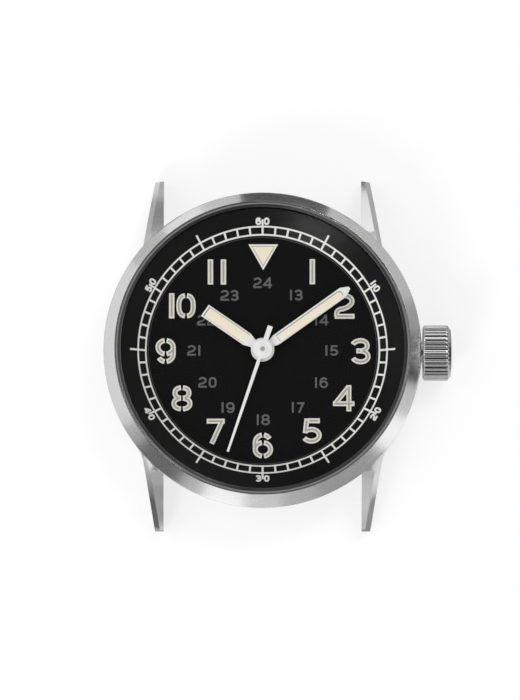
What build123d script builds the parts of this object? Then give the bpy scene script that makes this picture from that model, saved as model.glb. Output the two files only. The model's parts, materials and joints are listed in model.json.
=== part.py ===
from build123d import *
import math
import os

# Field watch lying on its case back: the dial faces +Z, 12 o'clock is +Y and the crown is on +X.
# The hands turn about the Z axis, and z = 0 is the flat outer face of the case back.

# Driving sizes of the case
case_diameter = 38.5
lug_overhang = 2.15
strap_shoulder = 7.25
crown_diameter = 6.75
crown_length = 3.63
movement_diameter = 25.5

# Heights that stack up from the case back's outer face to the top of the crystal
back_flange_thick = 1.3
back_floor_thick = 1.4
back_floor_gap = 0.33
clamp_thick = 0.12
battery_thick = 2.1
plate_thick = 1.7
dial_thick = 0.4
dial_ledge_thick = 0.2
chapter_rise = 2.2
crystal_edge_thick = 0.9
crystal_dome_rise = 0.6
crown_drop = 2.2

# Clearances between pieces
slip_clearance = 0.05
running_clearance = 0.02
thread_clearance = 0.05
inner_gap = 0.3

right_angle = 90
half_turn = 180
full_turn = 360

# Levels worked out from the stack
case_radius = case_diameter / 2
mid_bottom = back_flange_thick
battery_low = back_floor_thick + back_floor_gap + clamp_thick
plate_back = battery_low + battery_thick + slip_clearance
dial_seat = plate_back + plate_thick
dial_top = dial_seat + dial_thick
mid_top = dial_top + dial_ledge_thick
crystal_seat = dial_top + chapter_rise
crown_z = dial_top - crown_drop
movement_radius = movement_diameter / 2

crown_plane = Plane(origin=(0, 0, crown_z), x_dir=(0, 1, 0), z_dir=(1, 0, 0))
standing = (Align.CENTER, Align.CENTER, Align.MIN)


def polar(radius, bearing):
    """Point at a radius and a bearing, in degrees anticlockwise from 3 o'clock."""
    angle = math.radians(bearing)
    return (radius * math.cos(angle), radius * math.sin(angle))


def moved(point, radius, bearing):
    """Point that lies a radius and a bearing away from another point."""
    step = polar(radius, bearing)
    return (point[0] + step[0], point[1] + step[1])


def level(height, centre=(0, 0), turn=0):
    """Level working plane at a height, centred over a point and turned anticlockwise."""
    return Plane(origin=(centre[0], centre[1], height)).rotated((0, 0, turn))


def upright(centre, radius, low, high, mode=Mode.ADD):
    """Round post, or hole, along Z between two heights, in the open part."""
    with Locations((centre[0], centre[1], low)):
        Cylinder(radius, high - low, align=standing, mode=mode)


def lying(radius, near, far, mode=Mode.ADD):
    """Round shaft, or bore, along the crown's axis between two reaches, in the open part."""
    with Locations(crown_plane.offset(near)):
        Cylinder(radius, far - near, align=standing, mode=mode)


# Mid-case: the steel middle of the case, with its four lugs
mid_case_inset = 0.3
mid_case_wall = 2.6
mid_bottom_bevel = 0.35
dial_ledge_width = 1.25
neck_step = 0.65
neck_wall = 1.05
neck_height = 0.8
strap_side_wall = 1.55
tube_radius = 1.45
crown_spot_depth = 0.2
crown_spot_margin = 0.15

mid_case_radius = case_radius - mid_case_inset
bore_radius = mid_case_radius - mid_case_wall
dial_ledge_bore = bore_radius - dial_ledge_width
neck_radius = mid_case_radius - neck_step
neck_bore = neck_radius - neck_wall
neck_top = mid_top + neck_height
crown_spot_x = mid_case_radius - crown_spot_depth

# Lugs: each leaves the flank along its tangent, then runs on as a leaning, thinning horn
lug_lean_angle = 9.7
lug_tip_width = 1.04
lug_blend_radius = 4.2
lug_root_depth = 2.1
lug_root_length = 11.9
lug_root_drop = 0.05
lug_top_sagitta = 1.1
lug_tip_top_z = 2.0
lug_tip_low_z = 0.45
lug_tip_top_round = 0.45
lug_tip_low_round = 0.3
lug_underside_length = 6.4
lug_underside_sagitta = 0.2
lug_bevel = 0.6
lug_reach = case_radius + lug_overhang
lug_inner_x = case_radius - strap_shoulder
lug_root_radius = mid_case_radius - lug_root_depth

# The blend touches both the flank and the lug's leaning side, which gives the angle where it starts
lean = math.radians(lug_lean_angle)
side_offset = (lug_inner_x + lug_tip_width) * math.cos(lean) + lug_reach * math.sin(lean)
blend_share = (side_offset + lug_blend_radius) / (mid_case_radius + lug_blend_radius)
lug_leave_angle = lug_lean_angle + math.degrees(math.acos(blend_share))

# Holes drilled right through the lugs for the strap's spring bars
bar_hole_radius = 0.45
bar_hole_inset = 2.0
bar_hole_z = 1.65
bar_hole_y = lug_reach - bar_hole_inset

with BuildPart() as lug:
    with BuildSketch():
        with BuildLine():
            leave = polar(mid_case_radius, lug_leave_angle)
            blend = JernArc(
                leave,
                polar(1, lug_leave_angle + right_angle),
                lug_blend_radius,
                lug_lean_angle - lug_leave_angle,
            )
            Polyline(
                blend @ 1,
                (lug_inner_x + lug_tip_width, lug_reach),
                (lug_inner_x, lug_reach),
                (lug_inner_x, math.sqrt(lug_root_radius**2 - lug_inner_x**2)),
                polar(lug_root_radius, lug_leave_angle),
                leave,
            )
        make_face()
    extrude(amount=mid_top)
    with BuildSketch(Plane.YZ):
        with BuildLine():
            root_y = lug_reach - lug_root_length
            lug_top = SagittaArc(
                (lug_reach, lug_tip_top_z), (root_y, mid_top - lug_root_drop), -lug_top_sagitta
            )
            lug_under = SagittaArc(
                (lug_reach - lug_underside_length, mid_bottom),
                (lug_reach, lug_tip_low_z),
                -lug_underside_sagitta,
            )
            Line(lug_top @ 0, lug_under @ 1)
            Polyline(lug_under @ 0, (root_y, mid_bottom), lug_top @ 1)
        make_face()
    extrude(amount=case_radius, mode=Mode.INTERSECT)
    crest = faces().filter_by(GeomType.CYLINDER).sort_by(SortBy.AREA)[-1]
    outer_edges = crest.edges().sort_by(Axis.X)[-3:]
    chamfer(outer_edges.sort_by(Axis.Y)[-2:], lug_bevel)
    tip_edges = faces().sort_by(Axis.Y)[-1].edges().sort_by(Axis.Z)
    fillet(tip_edges[-2:], lug_tip_top_round)
    fillet(faces().sort_by(Axis.Y)[-1].edges().sort_by(Axis.Z)[0], lug_tip_low_round)
    with BuildSketch(Plane.YZ.offset(lug_inner_x)):
        with Locations((bar_hole_y, bar_hole_z)):
            Circle(bar_hole_radius)
    extrude(amount=case_radius - lug_inner_x, mode=Mode.SUBTRACT)

with BuildPart() as lug_pair:
    add(lug.part)
    mirror(lug.part, about=Plane.XZ)

with BuildPart() as case_middle:
    with BuildSketch(Plane.XZ):
        with BuildLine():
            Polyline(
                (bore_radius, mid_bottom),
                (mid_case_radius - mid_bottom_bevel, mid_bottom),
                (mid_case_radius, mid_bottom + mid_bottom_bevel),
                (mid_case_radius, mid_top),
                (neck_radius, mid_top),
                (neck_radius, neck_top),
                (neck_bore, neck_top),
                (neck_bore, mid_top),
                (dial_ledge_bore, mid_top),
                (dial_ledge_bore, dial_top),
                (bore_radius, dial_top),
                close=True,
            )
        make_face()
    revolve(axis=Axis.Z)
    # The flank is cut back between the lugs, which makes room for the strap's end
    with BuildSketch(Plane.XY.offset(mid_bottom)):
        Rectangle(2 * lug_inner_x, case_diameter)
        Circle(bore_radius + strap_side_wall, mode=Mode.SUBTRACT)
    extrude(amount=mid_top - mid_bottom, mode=Mode.SUBTRACT)
    add(lug_pair.part)
    mirror(lug_pair.part, about=Plane.YZ)
    # A flat spot behind the crown, and the hole that the crown tube is pressed into
    lying(crown_diameter / 2 + crown_spot_margin, crown_spot_x, case_radius, Mode.SUBTRACT)
    lying(tube_radius, dial_ledge_bore, case_radius, Mode.SUBTRACT)

# Bezel: a brushed ring with a polished lip, snapped over the mid-case's neck
bezel_band_height = 0.55
bezel_bottom_bevel = 0.1
bezel_shoulder_gap = 0.05
bezel_lip_height = 0.7
bezel_lip_width = 0.3
bezel_lip_bevel = 0.12
crystal_seat_width = 0.27
gasket_thick = 0.24
crystal_radius = neck_bore + crystal_seat_width
gasket_bore = crystal_radius + running_clearance
bezel_crystal_bore = gasket_bore + gasket_thick
bezel_lip_z = crystal_seat + bezel_lip_height
lip_outer_radius = bezel_crystal_bore + bezel_lip_width

with BuildPart() as bezel:
    with BuildSketch(Plane.XZ):
        with BuildLine():
            shoulder_z = neck_top + bezel_shoulder_gap
            Polyline(
                (lip_outer_radius, bezel_lip_z - bezel_lip_bevel),
                (lip_outer_radius - bezel_lip_bevel, bezel_lip_z),
                (bezel_crystal_bore, bezel_lip_z),
                (bezel_crystal_bore, crystal_seat),
                (neck_bore, crystal_seat),
                (neck_bore, shoulder_z),
                (neck_radius + running_clearance, shoulder_z),
                (neck_radius + running_clearance, mid_top),
                (case_radius - bezel_bottom_bevel, mid_top),
                (case_radius, mid_top + bezel_bottom_bevel),
                (case_radius, mid_top + bezel_band_height),
                close=True,
            )
        make_face()
    revolve(axis=Axis.Z)

# Crystal: a domed glass with a ground bevel at its rim, held in the bezel by a thin gasket
crystal_bevel_width = 0.32
crystal_bevel_height = 0.25

with BuildPart() as crystal:
    with BuildSketch(Plane.XZ):
        with BuildLine():
            edge_top = crystal_seat + crystal_edge_thick
            flat_radius = crystal_radius - crystal_bevel_width
            dome_top = edge_top + crystal_dome_rise
            dome = Bezier((flat_radius, edge_top), (flat_radius / 2, dome_top), (0, dome_top))
            Polyline(
                dome @ 1,
                (0, crystal_seat),
                (crystal_radius, crystal_seat),
                (crystal_radius, edge_top - crystal_bevel_height),
                dome @ 0,
            )
        make_face()
    revolve(axis=Axis.Z)

gasket_height = bezel_lip_height - bezel_lip_bevel

with BuildPart() as crystal_gasket:
    with BuildSketch(Plane.XY.offset(crystal_seat)):
        Circle(bezel_crystal_bore)
        Circle(gasket_bore, mode=Mode.SUBTRACT)
    extrude(amount=gasket_height)

# Chapter ring: the sloping black ring that carries the minute track
chapter_foot_thick = 0.08
chapter_rim_thick = 0.12
chapter_width = 3.4
chapter_heel_inset = 1.0
chapter_skirt_height = 0.9
chapter_outer_radius = neck_bore - slip_clearance
chapter_heel_radius = chapter_outer_radius - chapter_heel_inset
dial_opening_radius = chapter_outer_radius - chapter_width

with BuildPart() as chapter_ring:
    with BuildSketch(Plane.XZ):
        with BuildLine():
            Polyline(
                (dial_opening_radius, dial_top),
                (dial_ledge_bore - slip_clearance, dial_top),
                (dial_ledge_bore - slip_clearance, mid_top),
                (chapter_heel_radius, mid_top),
                (chapter_outer_radius, crystal_seat - chapter_skirt_height),
                (chapter_outer_radius, crystal_seat),
                (chapter_outer_radius - chapter_rim_thick, crystal_seat),
                (dial_opening_radius, dial_top + chapter_foot_thick),
                close=True,
            )
        make_face()
    revolve(axis=Axis.Z)

# Hole in the movement's spacer for the winding stem, and the rim of material left under it
stem_slot_radius = 0.95
spacer_skirt = 0.35
spacer_low = crown_z - stem_slot_radius - spacer_skirt

# Case back: a plain screw-down back with six wrench notches and a threaded rim
back_flange_margin = 1.0
back_edge_bevel_width = 1.7
back_edge_bevel_height = 0.35
back_rim_wall = 0.85
wrench_notches = 6
notch_width = 1.8
notch_depth = 0.9
notch_height = 0.7
seal_inset = 0.1
seal_width = 0.35
seal_height = 0.45
back_flange_radius = bore_radius + strap_side_wall - back_flange_margin
back_thread_radius = bore_radius - thread_clearance
seal_outer_radius = back_flange_radius - seal_inset
seal_inner_radius = seal_outer_radius - seal_width

with BuildPart() as case_back:
    with BuildSketch(Plane.XZ):
        with BuildLine():
            pocket_radius = back_thread_radius - back_rim_wall
            Polyline(
                (0, 0),
                (back_flange_radius - back_edge_bevel_width, 0),
                (back_flange_radius, back_edge_bevel_height),
                (back_flange_radius, back_flange_thick),
                (seal_outer_radius, back_flange_thick),
                (seal_outer_radius, back_flange_thick - seal_height),
                (seal_inner_radius, back_flange_thick - seal_height),
                (seal_inner_radius, back_flange_thick),
                (back_thread_radius, back_flange_thick),
                (back_thread_radius, spacer_low),
                (pocket_radius, spacer_low),
                (pocket_radius, back_floor_thick),
                (0, back_floor_thick),
                close=True,
            )
        make_face()
    revolve(axis=Axis.Z)
    with BuildSketch():
        with PolarLocations(back_flange_radius, wrench_notches):
            Rectangle(notch_depth * 2, notch_width)
    extrude(amount=notch_height, mode=Mode.SUBTRACT)

with BuildPart() as case_back_gasket:
    with BuildSketch(Plane.XY.offset(back_flange_thick - seal_height)):
        Circle(seal_outer_radius)
        Circle(seal_inner_radius, mode=Mode.SUBTRACT)
    extrude(amount=seal_height)

# Movement ring: the plastic spacer that centres the movement and is clamped by the case back
movement_flange_width = 0.3
movement_flange_thick = 0.35

with BuildPart() as movement_ring:
    with BuildSketch(Plane.XZ):
        with BuildLine():
            spacer_bore = movement_radius + slip_clearance
            flange_bore = spacer_bore + movement_flange_width
            flange_z = dial_seat - movement_flange_thick
            spacer_outer = bore_radius - 2 * slip_clearance
            Polyline(
                (spacer_bore, spacer_low),
                (spacer_outer, spacer_low),
                (spacer_outer, dial_seat),
                (flange_bore, dial_seat),
                (flange_bore, flange_z),
                (spacer_bore, flange_z),
                close=True,
            )
        make_face()
    revolve(axis=Axis.Z)
    lying(stem_slot_radius, 0, bore_radius, Mode.SUBTRACT)

# Dial: a thin plate on two feet, with a hole for the hands' pipes
dial_margin = 0.15
dial_hole_radius = 0.9
dial_foot_radius = 0.35
dial_foot_length = 1.2
dial_foot_share = 0.86
dial_foot_angle = 48
dial_radius = bore_radius - dial_margin
dial_foot_reach = dial_foot_share * movement_radius
dial_feet = [
    polar(dial_foot_reach, dial_foot_angle),
    polar(dial_foot_reach, dial_foot_angle + half_turn),
]

with BuildPart() as dial:
    upright((0, 0), dial_radius, dial_seat, dial_top)
    upright((0, 0), dial_hole_radius, dial_seat, dial_top, Mode.SUBTRACT)
    for foot in dial_feet:
        upright(foot, dial_foot_radius, dial_seat - dial_foot_length, dial_seat)

# Crown: a fluted head on a pipe, which slides and turns on the tube in the case
crown_case_gap = 0.42
crown_tip_length = 0.57
crown_tip_radius = 2.85
crown_dome_height = 0.21
crown_inner_bevel = 0.15
flute_count = 36
flute_depth = 0.2
flute_mouth = 0.36
flute_floor = 0.16
crown_cavity_radius = 1.75
crown_head_thick = 1.2
crown_seal_groove = 0.2
crown_seal_inset = 0.53
crown_seal_length = 0.6
crown_pipe_radius = 0.72
crown_pipe_length = 1.2
tube_bore = 0.78
tube_end_gap = 0.2
stem_radius = 0.45
stem_thread_depth = 0.5
crown_near = mid_case_radius + crown_case_gap
crown_end = crown_near + crown_length
crown_radius = crown_diameter / 2
crown_flute_end = crown_end - crown_tip_length
crown_seal_near = crown_near + crown_seal_inset
crown_seal_far = crown_seal_near + crown_seal_length
crown_cavity_end = crown_end - crown_head_thick
tube_end = crown_cavity_end - tube_end_gap
stem_end = crown_cavity_end + stem_thread_depth

with BuildPart() as crown:
    with BuildSketch(Plane.XZ):
        with BuildLine():
            rim_z = crown_z + crown_radius
            crown_tip = Bezier(
                (crown_end - crown_dome_height, crown_z + crown_tip_radius),
                (crown_end, crown_z + crown_tip_radius / 2),
                (crown_end, crown_z),
            )
            Polyline(
                crown_tip @ 1,
                (crown_near, crown_z),
                (crown_near, rim_z - crown_inner_bevel),
                (crown_near + crown_inner_bevel, rim_z),
                (crown_flute_end, rim_z),
                crown_tip @ 0,
            )
        make_face()
    revolve(axis=Axis((0, 0, crown_z), (1, 0, 0)))
    lying(crown_cavity_radius, crown_near, crown_cavity_end, Mode.SUBTRACT)
    lying(crown_pipe_radius, crown_cavity_end - crown_pipe_length, crown_cavity_end)
    lying(stem_radius, crown_near, stem_end, Mode.SUBTRACT)
    groove_radius = crown_cavity_radius + crown_seal_groove
    lying(groove_radius, crown_seal_near, crown_seal_far, Mode.SUBTRACT)
    with BuildSketch(crown_plane.offset(crown_near)):
        with PolarLocations(crown_radius, flute_count):
            Polygon(
                (-flute_depth, -flute_floor / 2),
                (flute_depth, flute_floor / 2 - flute_mouth),
                (flute_depth, flute_mouth - flute_floor / 2),
                (-flute_depth, flute_floor / 2),
            )
    extrude(amount=crown_flute_end - crown_near + flute_depth, mode=Mode.SUBTRACT)

with BuildPart() as crown_tube:
    lying(tube_radius, bore_radius, tube_end)
    lying(tube_bore, bore_radius, tube_end, Mode.SUBTRACT)

with BuildPart() as crown_gasket:
    lying(groove_radius, crown_seal_near, crown_seal_far)
    lying(tube_radius + running_clearance, crown_seal_near, crown_seal_far, Mode.SUBTRACT)

# Winding stem: a pivot, a square for the sliding pinion, a groove for the lever and a thread
stem_pivot_radius = 0.25
stem_near = 5.3
pinion_near = 7.6
pinion_length = 1.4
stem_square = 0.62
square_lead = 0.25
groove_collar = 0.25
lever_groove_length = 0.5
lever_groove_radius = 0.22
square_near = pinion_near - square_lead
square_far = pinion_near + pinion_length + inner_gap
lever_groove_near = square_far + groove_collar
lever_groove_far = lever_groove_near + lever_groove_length

with BuildPart() as winding_stem:
    lying(stem_pivot_radius, stem_near, square_near)
    with BuildSketch(crown_plane.offset(square_near)):
        Rectangle(stem_square, stem_square)
    extrude(amount=square_far - square_near)
    lying(stem_radius, square_far, lever_groove_near)
    lying(lever_groove_radius, lever_groove_near, lever_groove_far)
    lying(stem_radius, lever_groove_far, stem_end)

# Sliding pinion: turns with the stem's square, with face teeth that reach for the setting wheel
pinion_radius = 0.8
pinion_groove_inset = 0.7
pinion_groove_length = 0.4
pinion_groove_radius = 0.5
pinion_face_teeth = 10
pinion_tooth_height = 0.22
pinion_tooth_gap = 0.2
pinion_groove_near = pinion_near + pinion_groove_inset

with BuildPart() as sliding_pinion:
    lying(pinion_radius, pinion_near, pinion_near + pinion_length)
    with BuildSketch(crown_plane.offset(pinion_groove_near)):
        Circle(pinion_radius)
        Circle(pinion_groove_radius, mode=Mode.SUBTRACT)
    extrude(amount=pinion_groove_length, mode=Mode.SUBTRACT)
    with BuildSketch(crown_plane.offset(pinion_near)):
        with PolarLocations(pinion_radius, pinion_face_teeth):
            Rectangle(pinion_radius, pinion_tooth_gap)
    extrude(amount=pinion_tooth_height, mode=Mode.SUBTRACT)
    with BuildSketch(crown_plane.offset(pinion_near)):
        Rectangle(stem_square + 2 * running_clearance, stem_square + 2 * running_clearance)
    extrude(amount=pinion_length, mode=Mode.SUBTRACT)

# Gear train: tooth counts and modules, from the rotor to the hour wheel
rotor_pinion_teeth = 6
intermediate_wheel_teeth = 36
intermediate_pinion_teeth = 6
second_wheel_teeth = 30
second_pinion_teeth = 6
third_wheel_teeth = 45
third_pinion_teeth = 6
centre_wheel_teeth = 48
cannon_teeth = 8
minute_wheel_teeth = 24
minute_pinion_teeth = 8
hour_wheel_teeth = 32
setting_wheel_teeth = 16
rotor_module = 0.12
third_module = 0.12
train_distance = (third_wheel_teeth + second_pinion_teeth) * third_module / 2
second_module = 2 * train_distance / (second_wheel_teeth + intermediate_pinion_teeth)
centre_module = 2 * train_distance / (centre_wheel_teeth + third_pinion_teeth)
motion_module = 0.16
motion_distance = (minute_wheel_teeth + cannon_teeth) * motion_module / 2
hour_module = 2 * motion_distance / (hour_wheel_teeth + minute_pinion_teeth)
rotor_distance = (intermediate_wheel_teeth + rotor_pinion_teeth) * rotor_module / 2
setting_distance = (minute_wheel_teeth + setting_wheel_teeth) * motion_module / 2

# Where each axis of the train stands
third_angle = 215
intermediate_angle = 85
rotor_angle = 40
minute_angle = 0
third_centre = polar(train_distance, third_angle)
intermediate_centre = polar(train_distance, intermediate_angle)
rotor_centre = moved(intermediate_centre, rotor_distance, rotor_angle)
minute_centre = polar(motion_distance, minute_angle)
setting_centre = moved(minute_centre, setting_distance, minute_angle)

# Tooth form: heights as shares of the module, half widths at root and tip as shares of the pitch
addendum_share = 0.85
dedendum_share = 1.15
tooth_root_share = 0.3
tooth_tip_share = 0.11


def toothed_disc(teeth, module, phase, bore=0):
    """Outline of a toothed wheel in the open sketch, with one tooth at the phase angle."""
    root = (teeth / 2 - dedendum_share) * module
    tip = (teeth / 2 + addendum_share) * module
    flanks = [
        (root, -tooth_root_share),
        (tip, -tooth_tip_share),
        (tip, tooth_tip_share),
        (root, tooth_root_share),
    ]
    outline = [
        polar(radius, phase + (tooth + pitch_share) * full_turn / teeth)
        for tooth in range(teeth)
        for radius, pitch_share in flanks
    ]
    Polygon(*outline)
    if bore:
        Circle(bore, mode=Mode.SUBTRACT)


def mating_phase(phase, teeth, mate_teeth, bearing):
    """Phase of a wheel whose gap meets the first wheel's tooth; bearing runs from it to the mate."""
    pitches_past = (bearing - phase) * teeth / full_turn
    return bearing + half_turn - (1 / 2 - pitches_past) * full_turn / mate_teeth


# Phases at rest, each worked out from the wheel that it meshes with
second_phase = 0
third_wheel_phase = mating_phase(
    second_phase, second_pinion_teeth, third_wheel_teeth, third_angle
)
third_pinion_phase = 0
centre_wheel_phase = mating_phase(
    third_pinion_phase, third_pinion_teeth, centre_wheel_teeth, third_angle + half_turn
)
intermediate_pinion_phase = mating_phase(
    second_phase, second_wheel_teeth, intermediate_pinion_teeth, intermediate_angle
)
intermediate_wheel_phase = 0
rotor_phase = mating_phase(
    intermediate_wheel_phase, intermediate_wheel_teeth, rotor_pinion_teeth, rotor_angle
)
cannon_phase = 0
minute_wheel_phase = mating_phase(
    cannon_phase, cannon_teeth, minute_wheel_teeth, minute_angle
)
minute_pinion_phase = 0
hour_wheel_phase = mating_phase(
    minute_pinion_phase, minute_pinion_teeth, hour_wheel_teeth, minute_angle + half_turn
)
setting_wheel_phase = mating_phase(
    minute_wheel_phase, minute_wheel_teeth, setting_wheel_teeth, minute_angle
)

# Train heights, counted down from the main plate's back towards the train bridge
recess_depth = 0.8
wheel_thick = 0.15
pinion_height = 0.35
train_layer = 0.4
bridge_thick = 0.3
train_space = 1.4
arbor_radius = 0.14
pivot_radius = 0.09
pivot_depth = 0.35
pivot_hole_radius = 0.11
pinion_drop = 0.1
recess_floor = dial_seat - recess_depth
bridge_top = plate_back - train_space
bridge_back = bridge_top - bridge_thick
centre_wheel_z = plate_back - inner_gap
third_wheel_z = centre_wheel_z - train_layer
second_wheel_z = third_wheel_z - train_layer


def arbor(centre, top):
    """Arbor with a thin pivot at each end, from the train bridge up to a height, in the open part."""
    upright(centre, pivot_radius, bridge_back + slip_clearance, top)
    upright(centre, arbor_radius, bridge_top + slip_clearance, plate_back - slip_clearance)


with BuildPart() as third_wheel:
    arbor(third_centre, plate_back + pivot_depth)
    with BuildSketch(level(third_wheel_z, third_centre)):
        toothed_disc(third_wheel_teeth, third_module, third_wheel_phase)
    extrude(amount=wheel_thick)
    with BuildSketch(level(centre_wheel_z - pinion_drop, third_centre)):
        toothed_disc(third_pinion_teeth, centre_module, third_pinion_phase)
    extrude(amount=pinion_height)

with BuildPart() as intermediate_wheel:
    arbor(intermediate_centre, plate_back + pivot_depth)
    with BuildSketch(level(third_wheel_z, intermediate_centre)):
        toothed_disc(intermediate_wheel_teeth, rotor_module, intermediate_wheel_phase)
    extrude(amount=wheel_thick)
    with BuildSketch(level(second_wheel_z - pinion_drop, intermediate_centre)):
        toothed_disc(intermediate_pinion_teeth, second_module, intermediate_pinion_phase)
    extrude(amount=pinion_height)

# Rotor: the motor's round magnet on a shaft, with the pinion that drives the train
magnet_radius = 0.6
magnet_height = 0.35
magnet_bottom = third_wheel_z - pinion_drop + pinion_height

with BuildPart() as rotor:
    arbor(rotor_centre, plate_back + pivot_depth)
    upright(rotor_centre, magnet_radius, magnet_bottom, magnet_bottom + magnet_height)
    with BuildSketch(level(third_wheel_z - pinion_drop, rotor_centre)):
        toothed_disc(rotor_pinion_teeth, rotor_module, rotor_phase)
    extrude(amount=pinion_height)

# Heights of the hands above the dial, which the pipes and the second hand's arbor reach
hour_hand_rise = 0.45
minute_hand_rise = 0.9
second_hand_rise = 1.4
hand_thick = 0.2
second_hand_thick = 0.12
pipe_stand = 0.1
hour_hand_z = dial_top + hour_hand_rise
minute_hand_z = dial_top + minute_hand_rise
second_hand_z = dial_top + second_hand_rise

# Second wheel: its long arbor runs up through the cannon pinion and carries the second hand
second_boss_height = 0.3
second_arbor_top = second_hand_z + second_boss_height

with BuildPart() as second_wheel:
    upright((0, 0), pivot_radius, bridge_back + slip_clearance, bridge_top + slip_clearance)
    upright((0, 0), arbor_radius, bridge_top + slip_clearance, second_arbor_top)
    with BuildSketch(level(second_wheel_z)):
        toothed_disc(second_wheel_teeth, second_module, second_phase)
    extrude(amount=wheel_thick)
    with BuildSketch(level(third_wheel_z - pinion_drop)):
        toothed_disc(second_pinion_teeth, third_module, second_phase)
    extrude(amount=pinion_height)

# Motion works between the main plate and the dial: cannon pinion, minute wheel and hour wheel
cannon_radius = 0.48
cannon_wall = 0.28
cannon_teeth_height = 0.27
motion_layer = 0.3
motion_floor_gap = 0.08
cannon_bottom = centre_wheel_z - pinion_drop
cannon_top = minute_hand_z + hand_thick + pipe_stand
minute_wheel_z = recess_floor + motion_floor_gap
hour_wheel_z = minute_wheel_z + motion_layer
hour_pipe_wall = 0.21
hour_pipe_bore = cannon_radius + 3 * running_clearance
hour_pipe_radius = hour_pipe_bore + hour_pipe_wall
hour_pipe_top = hour_hand_z + hand_thick + slip_clearance

with BuildPart() as centre_wheel:
    with BuildSketch(level(centre_wheel_z)):
        toothed_disc(centre_wheel_teeth, centre_module, centre_wheel_phase, cannon_radius)
    extrude(amount=wheel_thick)

with BuildPart() as cannon_pinion:
    with BuildSketch(level(minute_wheel_z - running_clearance)):
        toothed_disc(cannon_teeth, motion_module, cannon_phase)
    extrude(amount=cannon_teeth_height)
    upright((0, 0), cannon_radius, cannon_bottom, cannon_top)
    upright((0, 0), cannon_radius - cannon_wall, cannon_bottom, cannon_top, Mode.SUBTRACT)

minute_post_radius = 0.18
minute_pinion_height = 0.32

with BuildPart() as minute_wheel:
    with BuildSketch(level(minute_wheel_z, minute_centre)):
        toothed_disc(minute_wheel_teeth, motion_module, minute_wheel_phase)
    extrude(amount=wheel_thick)
    minute_pinion_z = minute_wheel_z + wheel_thick
    minute_pinion_top = minute_pinion_z + minute_pinion_height
    with BuildSketch(level(minute_pinion_z, minute_centre)):
        toothed_disc(minute_pinion_teeth, hour_module, minute_pinion_phase)
    extrude(amount=minute_pinion_height)
    minute_bore = minute_post_radius + running_clearance
    upright(minute_centre, minute_bore, minute_wheel_z, minute_pinion_top, Mode.SUBTRACT)

with BuildPart() as hour_wheel:
    with BuildSketch(level(hour_wheel_z)):
        toothed_disc(hour_wheel_teeth, hour_module, hour_wheel_phase)
    extrude(amount=wheel_thick)
    upright((0, 0), hour_pipe_radius, hour_wheel_z, hour_pipe_top)
    upright((0, 0), hour_pipe_bore, hour_wheel_z, hour_pipe_top, Mode.SUBTRACT)

# Setting wheel: hands the winding stem's turn on to the minute wheel
setting_post_radius = 0.34
setting_recess_depth = 1.2
setting_wheel_thick = 0.5
setting_floor = dial_seat - setting_recess_depth
setting_wheel_z = minute_wheel_z + wheel_thick - setting_wheel_thick
setting_bore = setting_post_radius + running_clearance

with BuildPart() as setting_wheel:
    with BuildSketch(level(setting_wheel_z, setting_centre)):
        toothed_disc(setting_wheel_teeth, motion_module, setting_wheel_phase, setting_bore)
    extrude(amount=setting_wheel_thick)

# Dial washer: the thin spring ring between the hour wheel and the dial
washer_width = 0.95
washer_thick = 0.08

with BuildPart() as dial_washer:
    washer_z = hour_wheel_z + wheel_thick + running_clearance
    washer_bore = hour_pipe_radius + 2 * slip_clearance
    upright((0, 0), washer_bore + washer_width, washer_z, washer_z + washer_thick)
    upright((0, 0), washer_bore, washer_z, washer_z + washer_thick, Mode.SUBTRACT)

# Motor: a coil on a flat core, and a stator that closes round the rotor
coil_y = 8.2
coil_left_x = -3.0
coil_right_x = 6.2
coil_radius = 0.58
coil_end_gap = 1.85
core_width = 0.7
core_thick = 0.4
coil_pad_radius = 1.0
screw_radius = 0.3
stator_thick = 0.4
stator_width = 1.6
stator_ring_radius = 1.5
stator_ring_bore = 0.75
stator_elbow_y = 5.9
stator_left_x = -0.6
stator_right_x = 5.4
coil_pads = [(coil_left_x, coil_y), (coil_right_x, coil_y)]
stator_z = plate_back - stator_thick
core_z = stator_z - core_thick
coil_z = core_z + core_thick / 2
screw_hole_radius = screw_radius + slip_clearance

with BuildPart() as stator:
    with BuildSketch(Plane.XY.offset(stator_z)):
        with BuildLine():
            Polyline(
                coil_pads[0],
                (stator_left_x, stator_elbow_y),
                rotor_centre,
                (stator_right_x, stator_elbow_y),
                coil_pads[1],
            )
        trace(line_width=stator_width)
        with Locations(rotor_centre):
            Circle(stator_ring_radius)
            Circle(stator_ring_bore, mode=Mode.SUBTRACT)
        with Locations(coil_pads):
            Circle(coil_pad_radius)
            Circle(screw_hole_radius, mode=Mode.SUBTRACT)
    extrude(amount=stator_thick)

with BuildPart() as coil_core:
    with BuildSketch(Plane.XY.offset(core_z)):
        with Locations(((coil_left_x + coil_right_x) / 2, coil_y)):
            Rectangle(coil_right_x - coil_left_x, core_width)
        with Locations(coil_pads):
            Circle(coil_pad_radius)
            Circle(screw_hole_radius, mode=Mode.SUBTRACT)
    extrude(amount=core_thick)

with BuildPart() as coil:
    coil_start = coil_left_x + coil_end_gap + running_clearance
    with BuildSketch(Plane.YZ.offset(coil_start)):
        with Locations((coil_y, coil_z)):
            Circle(coil_radius)
            Rectangle(
                core_width + 2 * running_clearance,
                core_thick + 2 * running_clearance,
                mode=Mode.SUBTRACT,
            )
    extrude(amount=coil_right_x - coil_left_x - 2 * (coil_end_gap + running_clearance))

# Electronics: a circuit board on two posts, with a crystal can and a control chip
board_inner_radius = 6.3
board_rim_gap = 0.25
board_start_angle = 104
board_end_angle = 222
board_thick = 0.15
board_post_reach = 9.0
board_post_angles = [150, 200]
plate_rim_wall = 0.8
well_radius = movement_radius - plate_rim_wall
board_outer_radius = well_radius - board_rim_gap
post_radius = 0.7
screw_head_radius = 0.5
screw_head_thick = 0.3
board_top = bridge_top - 2 * slip_clearance
board_posts = [polar(board_post_reach, angle) for angle in board_post_angles]

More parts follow.
